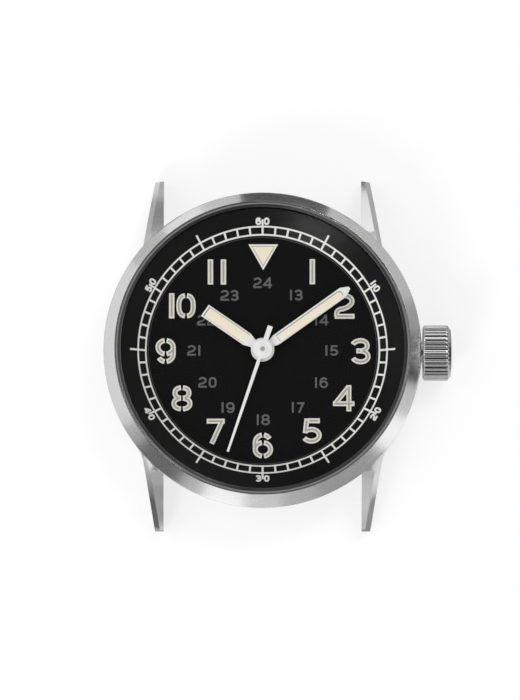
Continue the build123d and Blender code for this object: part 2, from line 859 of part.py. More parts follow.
with BuildPart() as circuit_board:
    with BuildSketch(Plane.XY.offset(board_top - board_thick)):
        with BuildLine():
            sweep_angle = board_end_angle - board_start_angle
            outer_arc = CenterArc((0, 0), board_outer_radius, board_start_angle, sweep_angle)
            inner_arc = CenterArc((0, 0), board_inner_radius, board_start_angle, sweep_angle)
            Line(outer_arc @ 0, inner_arc @ 0)
            Line(outer_arc @ 1, inner_arc @ 1)
        make_face()
        with Locations(board_posts):
            Circle(screw_hole_radius, mode=Mode.SUBTRACT)
    extrude(amount=board_thick)

can_x = -7.6
can_y = 0.7
can_radius = 0.7
can_length = 5.0
can_z = board_top + can_radius + slip_clearance

with BuildPart() as quartz_crystal:
    with BuildSketch(Plane.XZ.offset(-can_y - can_length / 2)):
        with Locations((can_x, can_z)):
            Circle(can_radius)
    extrude(amount=can_length)

chip_x = -10.0
chip_y = 0.7
chip_side = 1.8
chip_thick = 0.6

with BuildPart() as control_chip:
    with BuildSketch(level(board_top, (chip_x, chip_y))):
        Rectangle(chip_side, chip_side)
    extrude(amount=chip_thick)

# Battery: a button cell held in its well by a bent spring strap on two posts
battery_radius = 3.4
battery_rim_gap = 0.15
battery_angle = 255
battery_shoulder = 0.25
battery_shoulder_inset = 0.5
battery_reach = well_radius - battery_rim_gap - battery_radius
battery_centre = polar(battery_reach, battery_angle)

with BuildPart() as battery:
    shoulder_z = battery_low + battery_shoulder
    lid_radius = battery_radius - battery_shoulder_inset
    upright(battery_centre, battery_radius, battery_low, plate_back - battery_shoulder)
    upright(battery_centre, lid_radius, plate_back - battery_shoulder, plate_back - slip_clearance)

clamp_width = 2.2
clamp_post_reach = 4.3
clamp_tab_overhang = 0.8
clamp_angle = 165
clamp_rise_run = 0.15
clamp_posts = [
    moved(battery_centre, clamp_post_reach, clamp_angle),
    moved(battery_centre, clamp_post_reach, clamp_angle + half_turn),
]
clamp_post_low = battery_low + clamp_thick + screw_head_thick

with BuildPart() as battery_clamp:
    clamp_plane = Plane(
        origin=(battery_centre[0], battery_centre[1], battery_low),
        x_dir=(*polar(1, clamp_angle), 0),
        z_dir=(*polar(1, clamp_angle - right_angle), 0),
    )
    with BuildSketch(clamp_plane):
        with BuildLine():
            step_foot = battery_radius + slip_clearance
            tab_top = clamp_post_low - battery_low
            tab_low = tab_top - clamp_thick
            tab_end = clamp_post_reach + clamp_tab_overhang
            Polyline(
                (0, -clamp_thick),
                (step_foot + clamp_thick, -clamp_thick),
                (step_foot + clamp_thick + clamp_rise_run, tab_low),
                (tab_end, tab_low),
                (tab_end, tab_top),
                (step_foot + clamp_rise_run, tab_top),
                (step_foot, 0),
                (0, 0),
                close=True,
            )
        make_face()
        mirror(about=Plane.YZ)
    extrude(amount=clamp_width / 2, both=True)
    for post in clamp_posts:
        upright(post, screw_hole_radius, battery_low, clamp_post_low, Mode.SUBTRACT)

# Keyless works: a lever whose pin follows the stem's groove, and a yoke in the pinion's groove
lever_pivot_x = 10.3
lever_pivot_y = 2.9
lever_pin_y = 0.42
lever_thick = 0.25
lever_pin_radius = 0.13
lever_end_radius = 0.3
lever_eye_radius = 0.6
lever_pivot_radius = 0.25
lever_tail = 1.1
lever_pivot = (lever_pivot_x, lever_pivot_y)
lever_pin_x = (lever_groove_near + lever_groove_far) / 2
lever_top = crown_z - stem_radius - slip_clearance
lever_low = lever_top - lever_thick

with BuildPart() as setting_lever:
    with BuildSketch(Plane.XY.offset(lever_low)):
        with Locations((lever_pin_x, lever_pin_y)):
            Circle(lever_end_radius)
        with Locations(lever_pivot):
            Circle(lever_eye_radius)
        make_hull()
        with Locations((lever_pivot_x - lever_tail / 2, lever_pivot_y)):
            Rectangle(lever_tail, 2 * lever_end_radius)
        with Locations(lever_pivot):
            Circle(lever_pivot_radius + running_clearance, mode=Mode.SUBTRACT)
    extrude(amount=lever_thick)
    upright((lever_pin_x, lever_pin_y), lever_pin_radius, lever_top, crown_z + slip_clearance)

yoke_pivot_x = 10.4
yoke_pivot_y = -3.0
yoke_elbow_y = -1.25
yoke_tail_x = 6.5
yoke_tail_y = -4.6
yoke_arm_width = 0.5
yoke_nose_width = 0.3
yoke_spring_width = 0.25
yoke_eye_radius = 0.55
yoke_thick = 0.25
yoke_gap = 0.15
yoke_pivot = (yoke_pivot_x, yoke_pivot_y)
yoke_top = plate_back - yoke_gap
yoke_nose_x = pinion_groove_near + pinion_groove_length / 2
yoke_nose_y = -pinion_groove_radius - slip_clearance

with BuildPart() as yoke:
    with BuildSketch(Plane.XY.offset(yoke_top - yoke_thick)):
        with BuildLine():
            Line(yoke_pivot, (yoke_nose_x, yoke_elbow_y))
        trace(line_width=yoke_arm_width)
        with BuildLine():
            Line((yoke_nose_x, yoke_elbow_y), (yoke_nose_x, yoke_nose_y))
        trace(line_width=yoke_nose_width)
        with BuildLine():
            Line(yoke_pivot, (yoke_tail_x, yoke_tail_y))
        trace(line_width=yoke_spring_width)
        with Locations(yoke_pivot):
            Circle(yoke_eye_radius)
            Circle(lever_pivot_radius + running_clearance, mode=Mode.SUBTRACT)
    extrude(amount=yoke_thick)

# Main plate: the disc that everything in the movement is pivoted in or screwed to
motion_recess_gap = 0.24
battery_pillar_reach = 4.53
battery_pillar_angle = 318.6
board_pillar_reach = 4.92
board_pillar_angle = 127.6
stem_pillar_reach = 6.17
stem_pillar_angle = 24.9
channel_width = 2.0
channel_clearance = 0.25
stem_boss_inset = 0.15
stem_boss_length = 1.4
stem_boss_width = 2.4
stem_block_near = 5.2
stem_block_gap = 0.15
stem_block_width = 1.4
stem_block_height = 0.6
pivot_post_radius = 0.35
screw_length = 1.1
stem_boss_far = movement_radius - stem_boss_inset
pillar_places = [
    polar(battery_pillar_reach, battery_pillar_angle),
    polar(board_pillar_reach, board_pillar_angle),
    polar(stem_pillar_reach, stem_pillar_angle),
]
channel_near = pinion_near - inner_gap
channel_far = stem_boss_far - stem_boss_length
channel_depth = crown_z + pinion_radius + channel_clearance - plate_back
stem_block_far = channel_near - stem_block_gap
cannon_hole_radius = cannon_radius + running_clearance

with BuildPart() as main_plate:
    flange_radius = movement_radius + movement_flange_width
    upright((0, 0), movement_radius, plate_back, dial_seat)
    upright((0, 0), flange_radius, dial_seat - movement_flange_thick, dial_seat)
    with BuildSketch(Plane.XY.offset(bridge_top)):
        Circle(movement_radius)
        Circle(well_radius, mode=Mode.SUBTRACT)
    extrude(amount=plate_back - bridge_top)
    # Bearings for the stem, and the channel in which the sliding pinion turns
    with BuildSketch(Plane.XY.offset(bridge_top)):
        with Locations(((channel_far + stem_boss_far) / 2, 0)):
            Rectangle(stem_boss_length, stem_boss_width)
    extrude(amount=plate_back - bridge_top)
    with BuildSketch(Plane.XY.offset(plate_back - stem_block_height)):
        with Locations(((stem_block_near + stem_block_far) / 2, 0)):
            Rectangle(stem_block_far - stem_block_near, stem_block_width)
    extrude(amount=stem_block_height)
    with BuildSketch(Plane.XY.offset(plate_back)):
        with Locations(((channel_near + channel_far) / 2, 0)):
            Rectangle(channel_far - channel_near, channel_width)
    extrude(amount=channel_depth, mode=Mode.SUBTRACT)
    stem_bore = stem_radius + running_clearance
    lying(stem_pivot_radius + running_clearance, stem_block_near, channel_near, Mode.SUBTRACT)
    lying(stem_bore, channel_far - slip_clearance, flange_radius, Mode.SUBTRACT)
    # Recesses and posts under the dial for the motion works
    hour_tip = hour_wheel_teeth * hour_module / 2 + hour_module
    minute_tip = minute_wheel_teeth * motion_module / 2 + motion_module
    setting_tip = setting_wheel_teeth * motion_module / 2 + motion_module
    upright((0, 0), hour_tip + motion_recess_gap, recess_floor, dial_seat, Mode.SUBTRACT)
    upright(minute_centre, minute_tip + motion_recess_gap, recess_floor, dial_seat, Mode.SUBTRACT)
    upright(setting_centre, setting_tip + motion_recess_gap, setting_floor, dial_seat, Mode.SUBTRACT)
    upright((0, 0), cannon_hole_radius, plate_back, recess_floor, Mode.SUBTRACT)
    upright(minute_centre, minute_post_radius, recess_floor, minute_pinion_top + slip_clearance)
    upright(setting_centre, setting_post_radius, setting_floor, minute_pinion_z + slip_clearance)
    # Posts on the back, each with its screw hole, and the blind holes for pivots and dial feet
    for pillar in pillar_places:
        upright(pillar, post_radius, bridge_top, plate_back)
    for post in board_posts:
        upright(post, post_radius, board_top, plate_back)
    for post in clamp_posts:
        upright(post, post_radius, clamp_post_low, plate_back)
    for hole in pillar_places + board_posts + clamp_posts:
        upright(hole, screw_hole_radius, clamp_post_low, plate_back, Mode.SUBTRACT)
    for hole in coil_pads:
        upright(hole, screw_hole_radius, plate_back, plate_back + screw_length, Mode.SUBTRACT)
    for pivot in (third_centre, intermediate_centre, rotor_centre):
        pivot_hole_end = plate_back + pivot_depth + slip_clearance
        upright(pivot, pivot_hole_radius, plate_back, pivot_hole_end, Mode.SUBTRACT)
    for foot in dial_feet:
        foot_hole = dial_foot_radius + slip_clearance
        foot_floor = dial_seat - dial_foot_length - slip_clearance
        upright(foot, foot_hole, foot_floor, dial_seat, Mode.SUBTRACT)
    upright(lever_pivot, pivot_post_radius, lever_top + running_clearance, plate_back)
    upright(lever_pivot, lever_pivot_radius, lever_low - slip_clearance, plate_back)
    upright(yoke_pivot, pivot_post_radius, yoke_top, plate_back)
    upright(yoke_pivot, lever_pivot_radius, yoke_top - yoke_thick - slip_clearance, plate_back)

# Train bridge: the cover plate that holds the lower pivots, on three pillars
bridge_margin = 1.1

with BuildPart() as train_bridge:
    with BuildSketch(Plane.XY.offset(bridge_back)):
        with Locations(pillar_places + [rotor_centre, third_centre]):
            Circle(bridge_margin)
        make_hull()
        with Locations(pillar_places):
            Circle(screw_hole_radius, mode=Mode.SUBTRACT)
        with Locations((0, 0), third_centre, intermediate_centre, rotor_centre):
            Circle(pivot_hole_radius, mode=Mode.SUBTRACT)
    extrude(amount=bridge_thick)

# Movement screws: slotted cheese-head screws for the bridge, coil, circuit board and clamp
screw_slot_width = 0.16
screw_slot_depth = 0.14
screw_seats = [(place, bridge_back) for place in pillar_places]
screw_seats += [(place, core_z) for place in coil_pads]
screw_seats += [(place, board_top - board_thick) for place in board_posts]
screw_seats += [(place, clamp_post_low - clamp_thick) for place in clamp_posts]

with BuildPart() as movement_screws:
    for place, seat in screw_seats:
        upright(place, screw_head_radius, seat - screw_head_thick, seat)
        upright(place, screw_radius, seat, seat + screw_length)
        with BuildSketch(level(seat - screw_head_thick, place)):
            Rectangle(2 * screw_head_radius, screw_slot_width)
        extrude(amount=screw_slot_depth, mode=Mode.SUBTRACT)

# Hands: two windowed hands filled with luminous paint, and a needle with a short tail
hour_hand_angle = 304.8
minute_hand_angle = 54.1
second_hand_angle = 198.6
hub_radius = 1.42
hour_hand_width = 1.65
hour_neck_width = 1.09
hour_neck_reach = 1.45
hour_blade_start = 2.3
hour_length_share = 0.592
hour_window_width = 0.97
hour_window_start = 2.66
hour_window_inset = 0.67
minute_hand_width = 1.33
minute_neck_width = 0.98
minute_neck_reach = 1.38
minute_blade_start = 2.0
minute_track_gap = 0.78
minute_tip_length = 0.97
minute_tip_width = 0.36
minute_window_width = 0.73
minute_window_start = 3.03
minute_window_inset = 0.65
minute_window_point = 0.35
second_disc_radius = 1.19
second_boss_radius = 0.36
second_needle_width = 0.44
second_tip_width = 0.27
second_track_gap = 0.6
second_tail_width = 0.6
second_tail_length = 2.9
hour_hand_length = hour_length_share * dial_opening_radius
minute_hand_length = dial_opening_radius - minute_track_gap
second_hand_length = dial_opening_radius - second_track_gap
minute_shoulder_reach = minute_hand_length - minute_tip_length


def tapering(stations):
    """Symmetrical outline along Y in the open sketch, from pairs of a width and a reach."""
    right = [(width / 2, reach) for width, reach in stations]
    left = [(-width / 2, reach) for width, reach in reversed(stations)]
    Polygon(*right, *left)


hour_window = [
    (hour_window_width, hour_window_start),
    (hour_window_width, hour_hand_length - hour_window_inset),
]
minute_window_end = minute_shoulder_reach - minute_window_inset
minute_window = [
    (minute_window_width, minute_window_start),
    (minute_window_width, minute_window_end),
    (minute_tip_width, minute_window_end + minute_window_point),
]

with BuildPart() as hour_hand:
    with BuildSketch(level(hour_hand_z, turn=-hour_hand_angle)):
        Circle(hub_radius)
        tapering(
            [
                (hour_neck_width, 0),
                (hour_neck_width, hour_neck_reach),
                (hour_hand_width, hour_blade_start),
                (hour_hand_width, hour_hand_length),
            ]
        )
        Circle(hour_pipe_radius, mode=Mode.SUBTRACT)
    extrude(amount=hand_thick)
    with BuildSketch(level(hour_hand_z, turn=-hour_hand_angle)):
        tapering(hour_window)
    extrude(amount=hand_thick, mode=Mode.SUBTRACT)

with BuildPart() as hour_hand_lume:
    with BuildSketch(level(hour_hand_z, turn=-hour_hand_angle)):
        tapering(hour_window)
    extrude(amount=hand_thick)

with BuildPart() as minute_hand:
    with BuildSketch(level(minute_hand_z, turn=-minute_hand_angle)):
        Circle(hub_radius)
        tapering(
            [
                (minute_neck_width, 0),
                (minute_neck_width, minute_neck_reach),
                (minute_hand_width, minute_blade_start),
                (minute_hand_width, minute_shoulder_reach),
                (minute_tip_width, minute_hand_length),
            ]
        )
        Circle(cannon_radius, mode=Mode.SUBTRACT)
    extrude(amount=hand_thick)
    with BuildSketch(level(minute_hand_z, turn=-minute_hand_angle)):
        tapering(minute_window)
    extrude(amount=hand_thick, mode=Mode.SUBTRACT)

with BuildPart() as minute_hand_lume:
    with BuildSketch(level(minute_hand_z, turn=-minute_hand_angle)):
        tapering(minute_window)
    extrude(amount=hand_thick)

with BuildPart() as second_hand:
    with BuildSketch(level(second_hand_z, turn=-second_hand_angle)):
        Circle(second_disc_radius)
        tapering([(second_needle_width, 0), (second_tip_width, second_hand_length)])
        tapering([(second_tail_width, -second_tail_length), (second_tail_width, 0)])
    extrude(amount=second_hand_thick)
    upright((0, 0), second_boss_radius, second_hand_z, second_arbor_top)
    upright((0, 0), arbor_radius + running_clearance, second_hand_z, second_arbor_top, Mode.SUBTRACT)

pieces = {
    "case_middle": case_middle,
    "bezel": bezel,
    "crystal": crystal,
    "crystal_gasket": crystal_gasket,
    "chapter_ring": chapter_ring,
    "case_back": case_back,
    "case_back_gasket": case_back_gasket,
    "movement_ring": movement_ring,
    "dial": dial,
    "crown_tube": crown_tube,
    "crown": crown,
    "crown_gasket": crown_gasket,
    "winding_stem": winding_stem,
    "sliding_pinion": sliding_pinion,
    "setting_lever": setting_lever,
    "yoke": yoke,
    "hour_hand": hour_hand,
    "hour_hand_lume": hour_hand_lume,
    "minute_hand": minute_hand,
    "minute_hand_lume": minute_hand_lume,
    "second_hand": second_hand,
    "hour_wheel": hour_wheel,
    "cannon_pinion": cannon_pinion,
    "centre_wheel": centre_wheel,
    "minute_wheel": minute_wheel,
    "setting_wheel": setting_wheel,
    "dial_washer": dial_washer,
    "main_plate": main_plate,
    "train_bridge": train_bridge,
    "third_wheel": third_wheel,
    "second_wheel": second_wheel,
    "intermediate_wheel": intermediate_wheel,
    "rotor": rotor,
    "stator": stator,
    "coil": coil,
    "coil_core": coil_core,
    "circuit_board": circuit_board,
    "quartz_crystal": quartz_crystal,
    "control_chip": control_chip,
    "battery": battery,
    "battery_clamp": battery_clamp,
    "movement_screws": movement_screws,
}

os.makedirs("parts", exist_ok=True)
for name, piece in pieces.items():
    piece.part.label = name
    export_step(piece.part, f"parts/{name}.step")
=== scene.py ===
import json
import math

import bmesh
import bpy
import numpy as np
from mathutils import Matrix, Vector


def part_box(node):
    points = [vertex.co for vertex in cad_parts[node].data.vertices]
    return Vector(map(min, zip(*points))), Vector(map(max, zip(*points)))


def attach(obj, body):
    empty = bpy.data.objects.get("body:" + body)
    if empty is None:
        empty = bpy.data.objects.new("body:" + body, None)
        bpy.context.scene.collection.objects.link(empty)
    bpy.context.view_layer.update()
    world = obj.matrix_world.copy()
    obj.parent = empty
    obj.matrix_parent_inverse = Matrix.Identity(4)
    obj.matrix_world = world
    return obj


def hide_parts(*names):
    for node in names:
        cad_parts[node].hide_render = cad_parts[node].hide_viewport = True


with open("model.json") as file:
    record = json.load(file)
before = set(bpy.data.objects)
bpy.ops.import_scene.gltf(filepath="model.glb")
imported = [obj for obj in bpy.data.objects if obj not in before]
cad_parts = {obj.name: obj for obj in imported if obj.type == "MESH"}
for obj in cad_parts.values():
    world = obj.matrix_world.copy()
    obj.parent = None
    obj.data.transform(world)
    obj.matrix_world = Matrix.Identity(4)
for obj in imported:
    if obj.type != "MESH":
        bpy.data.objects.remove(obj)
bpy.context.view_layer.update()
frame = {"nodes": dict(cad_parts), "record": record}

# Field watch seen from above its dial: 12 o'clock is +Y, the crown is +X and the hands turn about Z.
# Sizes are in millimetres, and points given in the photograph's pixels carry that in their names.
MM = 0.001


def box_of(node):
    """Lowest and highest corner of a CAD node, in millimetres."""
    low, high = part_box(node)
    return np.array(low) / MM, np.array(high) / MM


# Levels and radii read from the frame
dial_top = box_of("dial")[1][2]
chapter_low, chapter_high = box_of("chapter_ring")
chapter_outer = chapter_high[0]
glass_low, glass_high = box_of("crystal")
glass_radius = glass_high[0]
glass_seat = glass_low[2]
bezel_low, bezel_high = box_of("bezel")
case_radius = min(bezel_high[0], -bezel_low[0])
crown_low, crown_high = box_of("crown")
crown_z = (crown_low[2] + crown_high[2]) / 2
crown_radius = (crown_high[2] - crown_low[2]) / 2
crown_flute_start = crown_low[0] + 0.25
crown_flute_end = crown_high[0] - 0.57

# How the photograph sees the watch
case_width_px = 318
pixel = 2 * case_radius / case_width_px
image_width_px = 520
image_height_px = 700
dial_centre_px = (262.6, 350.6)
camera_elevation = math.radians(82)
camera_distance = 1200
sensor_width = 36

# Sloping face of the chapter ring, which carries the minute track
slope_start = 13.8
slope_foot = 0.08
slope_end = chapter_outer - 0.12
slope_rise = (chapter_high[2] - dial_top - slope_foot) / (slope_end - slope_start)

# Ground bevel at the glass's rim, the rounding of its upper corner, and the bezel's lip round it,
# which stands above both the slope outside it and the gasket inside it
glass_bevel_width = 0.32
glass_bevel_height = 0.25
glass_corner = 0.07
lip_rise = 0.12


# Shapes: grids of points worked out as whole arrays

def grid(points, round_stations=False, round_profile=True, capped=True):
    """Quads between neighbours of a grid of points, whose rows are stations along the piece and whose
    columns go along the profile; a capped strip gets one flat face at each end."""
    rows, columns = points.shape[:2]
    index = np.arange(rows * columns).reshape(rows, columns)
    ends = [index[0, ::-1].tolist(), index[-1].tolist()] if capped else []
    if round_stations:
        index = np.vstack([index, index[:1]])
    if round_profile:
        index = np.hstack([index, index[:, :1]])
    quads = np.stack([index[:-1, :-1], index[1:, :-1], index[1:, 1:], index[:-1, 1:]], axis=-1)
    return points.reshape(-1, 3), quads.reshape(-1, 4).tolist() + ends


def carried_round(outline, angles):
    """Points of an outline (r, z) at each angle a round Z: (r cos a, r sin a, z)."""
    angle = angles[:, None]
    radius, height = np.array(outline, float).T
    return np.stack([radius * np.cos(angle), radius * np.sin(angle), height + 0 * angle], axis=-1)


def turned(outline, steps=256):
    """Surface of revolution: a closed outline (r, z) carried once round Z."""
    angles = np.linspace(0, 2 * np.pi, steps, endpoint=False)
    return grid(carried_round(outline, angles), round_stations=True, capped=False)


def rounded(corners, radius, steps=4):
    """Outline whose corners are rounded: each corner becomes a quadratic curve between the points that
    lie the radius away from it on both of its sides, or less where a side is short."""
    longest_share = 0.45
    corners = np.array(corners, float)
    before = np.roll(corners, 1, axis=0) - corners
    after = np.roll(corners, -1, axis=0) - corners
    before_length = np.linalg.norm(before, axis=1)[:, None]
    after_length = np.linalg.norm(after, axis=1)[:, None]
    reach = np.minimum(radius, longest_share * np.minimum(before_length, after_length))
    start = corners + before / before_length * reach
    end = corners + after / after_length * reach
    t = np.linspace(0, 1, steps)[None, :, None]
    curve = (1 - t) ** 2 * start[:, None] + 2 * t * (1 - t) * corners[:, None] + t**2 * end[:, None]
    return curve.reshape(-1, 2)


def strip(path, width, low, high):
    """Flat strip along a path: each station is its path point moved half the width to either side,
    along the path's normal, at the strip's lower and upper level."""
    along = np.gradient(path, axis=0)
    along /= np.linalg.norm(along, axis=1)[:, None]
    side = np.stack([-along[:, 1], along[:, 0]], axis=1) * width / 2
    profile = [(1, low), (-1, low), (-1, high), (1, high)]
    points = np.stack(
        [np.column_stack([path + sign * side, np.full(len(path), level)]) for sign, level in profile],
        axis=1,
    )
    return grid(points)


def placed(part, scale=1, turn=0, centre=(0, 0)):
    """Flat part scaled about zero, turned anticlockwise by an angle and moved to a centre."""
    points, faces = part
    cos, sin = math.cos(turn), math.sin(turn)
    x, y = points[:, 0] * scale, points[:, 1] * scale
    moved = np.stack(
        [x * cos - y * sin + centre[0], x * sin + y * cos + centre[1], points[:, 2]], axis=1
    )
    return moved, faces


def on_face(part):
    """Flat part laid on the dial: inside the slope's start its height counts from the dial, and
    outside it the height rises with the radius along the chapter ring's slope."""
    points, faces = part
    radius = np.hypot(points[:, 0], points[:, 1])
    slope = slope_foot + (radius - slope_start) * slope_rise
    ground = np.where(radius > slope_start, slope, 0)
    return np.column_stack([points[:, :2], points[:, 2] + dial_top + ground]), faces


def make_piece(name, parts, body, slot, replaces=(), finish=None, sharp=35):
    """One object from several grids, in its slot's material or in another finish where one is given."""
    counts = np.cumsum([0] + [len(points) for points, faces in parts])
    points = np.concatenate([points for points, faces in parts]) * MM
    faces = [
        [corner + int(start) for corner in face]
        for start, (_, part_faces) in zip(counts, parts)
        for face in part_faces
    ]
    mesh = bpy.data.meshes.new(name)
    mesh.from_pydata(points, [], faces)
    piece = bpy.data.objects.new(name, mesh)
    bpy.context.collection.objects.link(piece)
    return finish_piece(piece, body, slot, replaces, finish, sharp)


def finish_piece(piece, body, slot, replaces, finish, sharp):
    """Merges doubles, turns the faces outwards, smooths the surface between edges of more than the
    sharp angle, in degrees, and hands the piece to its body."""
    mesh = piece.data
    shell = bmesh.new()
    shell.from_mesh(mesh)
    bmesh.ops.remove_doubles(shell, verts=shell.verts, dist=1e-8)
    bmesh.ops.recalc_face_normals(shell, faces=shell.faces)
    shell.to_mesh(mesh)
    shell.free()
    mesh.shade_smooth()
    mesh.set_sharp_from_angle(angle=math.radians(sharp))
    mesh.materials.clear()
    mesh.materials.append(materials[slot] if finish is None else finish)
    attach(piece, body)
    if replaces:
        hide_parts(*replaces)
    return piece


def true_round_walls(piece):
    """Gives every face that lies on a cylinder or cone round Z the exact normals of that form, which
    are out along the radius and up by the face's own slope, because averages over its long triangles
    shimmer in steel. On such a form, out * radius + up * height is the same at each corner."""
    least_out = 0.2
    least_radial = 0.99
    tolerance = 0.004
    mesh = piece.data
    places = np.empty(len(mesh.vertices) * 3)
    mesh.vertices.foreach_get("co", places)
    places = places.reshape(-1, 3) / MM
    normals = np.array([corner.vector for corner in mesh.corner_normals])
    for face in mesh.polygons:
        corners = places[list(face.vertices)]
        radii = np.linalg.norm(corners[:, :2], axis=1)
        middle = corners[:, :2].mean(axis=0)
        out = middle @ np.array(face.normal[:2]) / np.linalg.norm(middle)
        up = face.normal[2]
        faces_radius = abs(out) > least_out and math.hypot(out, up) > least_radial
        if faces_radius and np.ptp(out * radii + up * corners[:, 2]) < tolerance:
            normals[list(face.loop_indices), :2] = out * corners[:, :2] / radii[:, None]
            normals[list(face.loop_indices), 2] = up
    mesh.normals_split_custom_set(normals.tolist())


def smooth_copy(node, body, slot, sharp=30):
    """Merged copy of a CAD node with smooth round walls, which stands for the node."""
    mesh = frame["nodes"][node].data.copy()
    piece = bpy.data.objects.new(node + "_finish", mesh)
    bpy.context.collection.objects.link(piece)
    return finish_piece(piece, body, slot, [node], None, sharp)


# Materials: node trees written as sums of signals

class Signal:
    """A node's output that Python can calculate with: each operator adds one Math node."""

    def __init__(self, shader, socket):
        self.shader = shader
        self.socket = socket

    def __add__(self, other):
        return self.shader.maths("ADD", self, other)

    def __sub__(self, other):
        return self.shader.maths("SUBTRACT", self, other)

    def __rsub__(self, other):
        return self.shader.maths("SUBTRACT", other, self)

    def __mul__(self, other):
        return self.shader.maths("MULTIPLY", self, other)

    def above(self, limit):
        return self.shader.maths("GREATER_THAN", self, limit)

    def sine(self):
        return self.shader.maths("SINE", self)

    __radd__ = __add__
    __rmul__ = __mul__


class Shader:
    """Node tree of a material or of the world. Object coordinates are given in millimetres."""

    def __init__(self, owner):
        self.material = bpy.data.materials.new(owner) if isinstance(owner, str) else owner
        self.material.use_nodes = True
        self.tree = self.material.node_tree
        self.tree.nodes.clear()

    def node(self, kind, settings=None, sockets=None, output=0):
        """Adds a node: its settings are set first, then the values or links of its sockets."""
        node = self.tree.nodes.new(kind)
        for setting, value in (settings or {}).items():
            setattr(node, setting, value)
        for socket, value in (sockets or {}).items():
            if isinstance(value, Signal):
                self.tree.links.new(value.socket, node.inputs[socket])
            else:
                node.inputs[socket].default_value = value
        return Signal(self, node.outputs[output]) if node.outputs else None

    def maths(self, operation, *values):
        return self.node("ShaderNodeMath", {"operation": operation}, dict(enumerate(values)))

    def place(self, stretch=(1, 1, 1)):
        """Position on the piece in millimetres, times a stretch along each axis."""
        place = self.node("ShaderNodeTexCoord", output="Object")
        scale = tuple(factor / MM for factor in stretch)
        return self.node(
            "ShaderNodeVectorMath", {"operation": "MULTIPLY"}, {0: place, 1: scale}
        )

    def noise(self, where, scale=1.0, detail=2.0):
        return self.node(
            "ShaderNodeTexNoise", None, {"Vector": where, "Scale": scale, "Detail": detail}
        )

    def reach(self):
        """Distance from the dial's axis in millimetres."""
        flat = self.place((1, 1, 0))
        return self.node("ShaderNodeVectorMath", {"operation": "LENGTH"}, {0: flat}, output="Value")

    def round_streaks(self, across=60.0, along=2.0):
        """Noise drawn out along circles round Z: fine over radius and height, slow over the angle."""
        flat = self.place((1, 1, 0))
        radius = self.reach()
        bearing = self.node("ShaderNodeVectorMath", {"operation": "NORMALIZE"}, {0: flat})
        height = self.node("ShaderNodeSeparateXYZ", None, {0: self.place()}, output="Z")
        lanes = self.node(
            "ShaderNodeCombineXYZ", None, {"X": radius * across, "Y": radius * 0, "Z": height * across}
        )
        wound = self.node(
            "ShaderNodeVectorMath",
            {"operation": "MULTIPLY_ADD"},
            {0: bearing, 1: (along, along, along), 2: lanes},
        )
        return self.noise(wound)

    def blend(self, amount, first, second):
        """Colour that goes from the first to the second as the amount goes from 0 to 1."""
        return self.node(
            "ShaderNodeMix", {"data_type": "RGBA"}, {0: amount, 6: first, 7: second}, output=2
        )

    def bump(self, height, depth):
        """Normal of a surface whose relief is the height signal times a depth in millimetres."""
        return self.node("ShaderNodeBump", None, {"Height": height, "Distance": depth * MM})

    def finish(self, sockets):
        """Principled surface with these sockets, joined to the material's output."""
        surface = self.node("ShaderNodeBsdfPrincipled", None, sockets)
        self.node("ShaderNodeOutputMaterial", None, {"Surface": surface})
        return self.material


def grey(level):
    return (level, level, level, 1)


def colour(red, green, blue):
    """Linear colour from the three levels, 0 to 255, that it has on screen."""
    levels = np.array([red, green, blue]) / 255
    linear = np.where(levels > 0.04045, ((levels + 0.055) / 1.055) ** 2.4, levels / 12.92)
    return (*linear.tolist(), 1)


def round_brushed_steel(name, tone=0.7, roughness=0.27, depth=0.0006):
    """Steel brushed in fine circles round the dial's centre, with short broken scratches."""
    shader = Shader(name)
    streaks = shader.round_streaks(across=36.0, along=12.0)
    specks = shader.noise(shader.place(), scale=5.5, detail=3.0)
    tint = shader.blend(streaks * 0.5 + specks * 0.5, grey(tone * 0.8), grey(tone * 1.18))
    return shader.finish({
        "Base Color": tint,
        "Metallic": 1.0,
        "Roughness": streaks * 0.16 + (roughness - 0.08),
        "Normal": shader.bump(streaks, depth),
    })


def straight_brushed_steel(name, stretch=(26, 1.6, 26), tone=0.6, roughness=0.3, depth=0.0006):
    """Steel brushed along one axis, the one with the small stretch."""
    shader = Shader(name)
    streaks = shader.noise(shader.place(stretch))
    patches = shader.noise(shader.place(), scale=0.5)
    tint = shader.blend(streaks * 0.7 + patches * 0.3, grey(tone * 0.86), grey(tone * 1.1))
    return shader.finish({
        "Base Color": tint,
        "Metallic": 1.0,
        "Roughness": streaks * 0.14 + (roughness - 0.07),
        "Normal": shader.bump(streaks, depth),
    })


def polished_metal(name, tone, roughness=0.12, wear=0.06, relief=0.0003):
    """Polished metal whose gloss is broken by faint wiping marks."""
    shader = Shader(name)
    marks = shader.noise(shader.place((3, 9, 3)), detail=4.0)
    return shader.finish({
        "Base Color": shader.blend(marks, tuple(0.93 * level for level in tone[:3]) + (1,), tone),
        "Metallic": 1.0,
        "Roughness": marks * wear + (roughness - wear / 2),
        "Normal": shader.bump(marks, relief),
    })


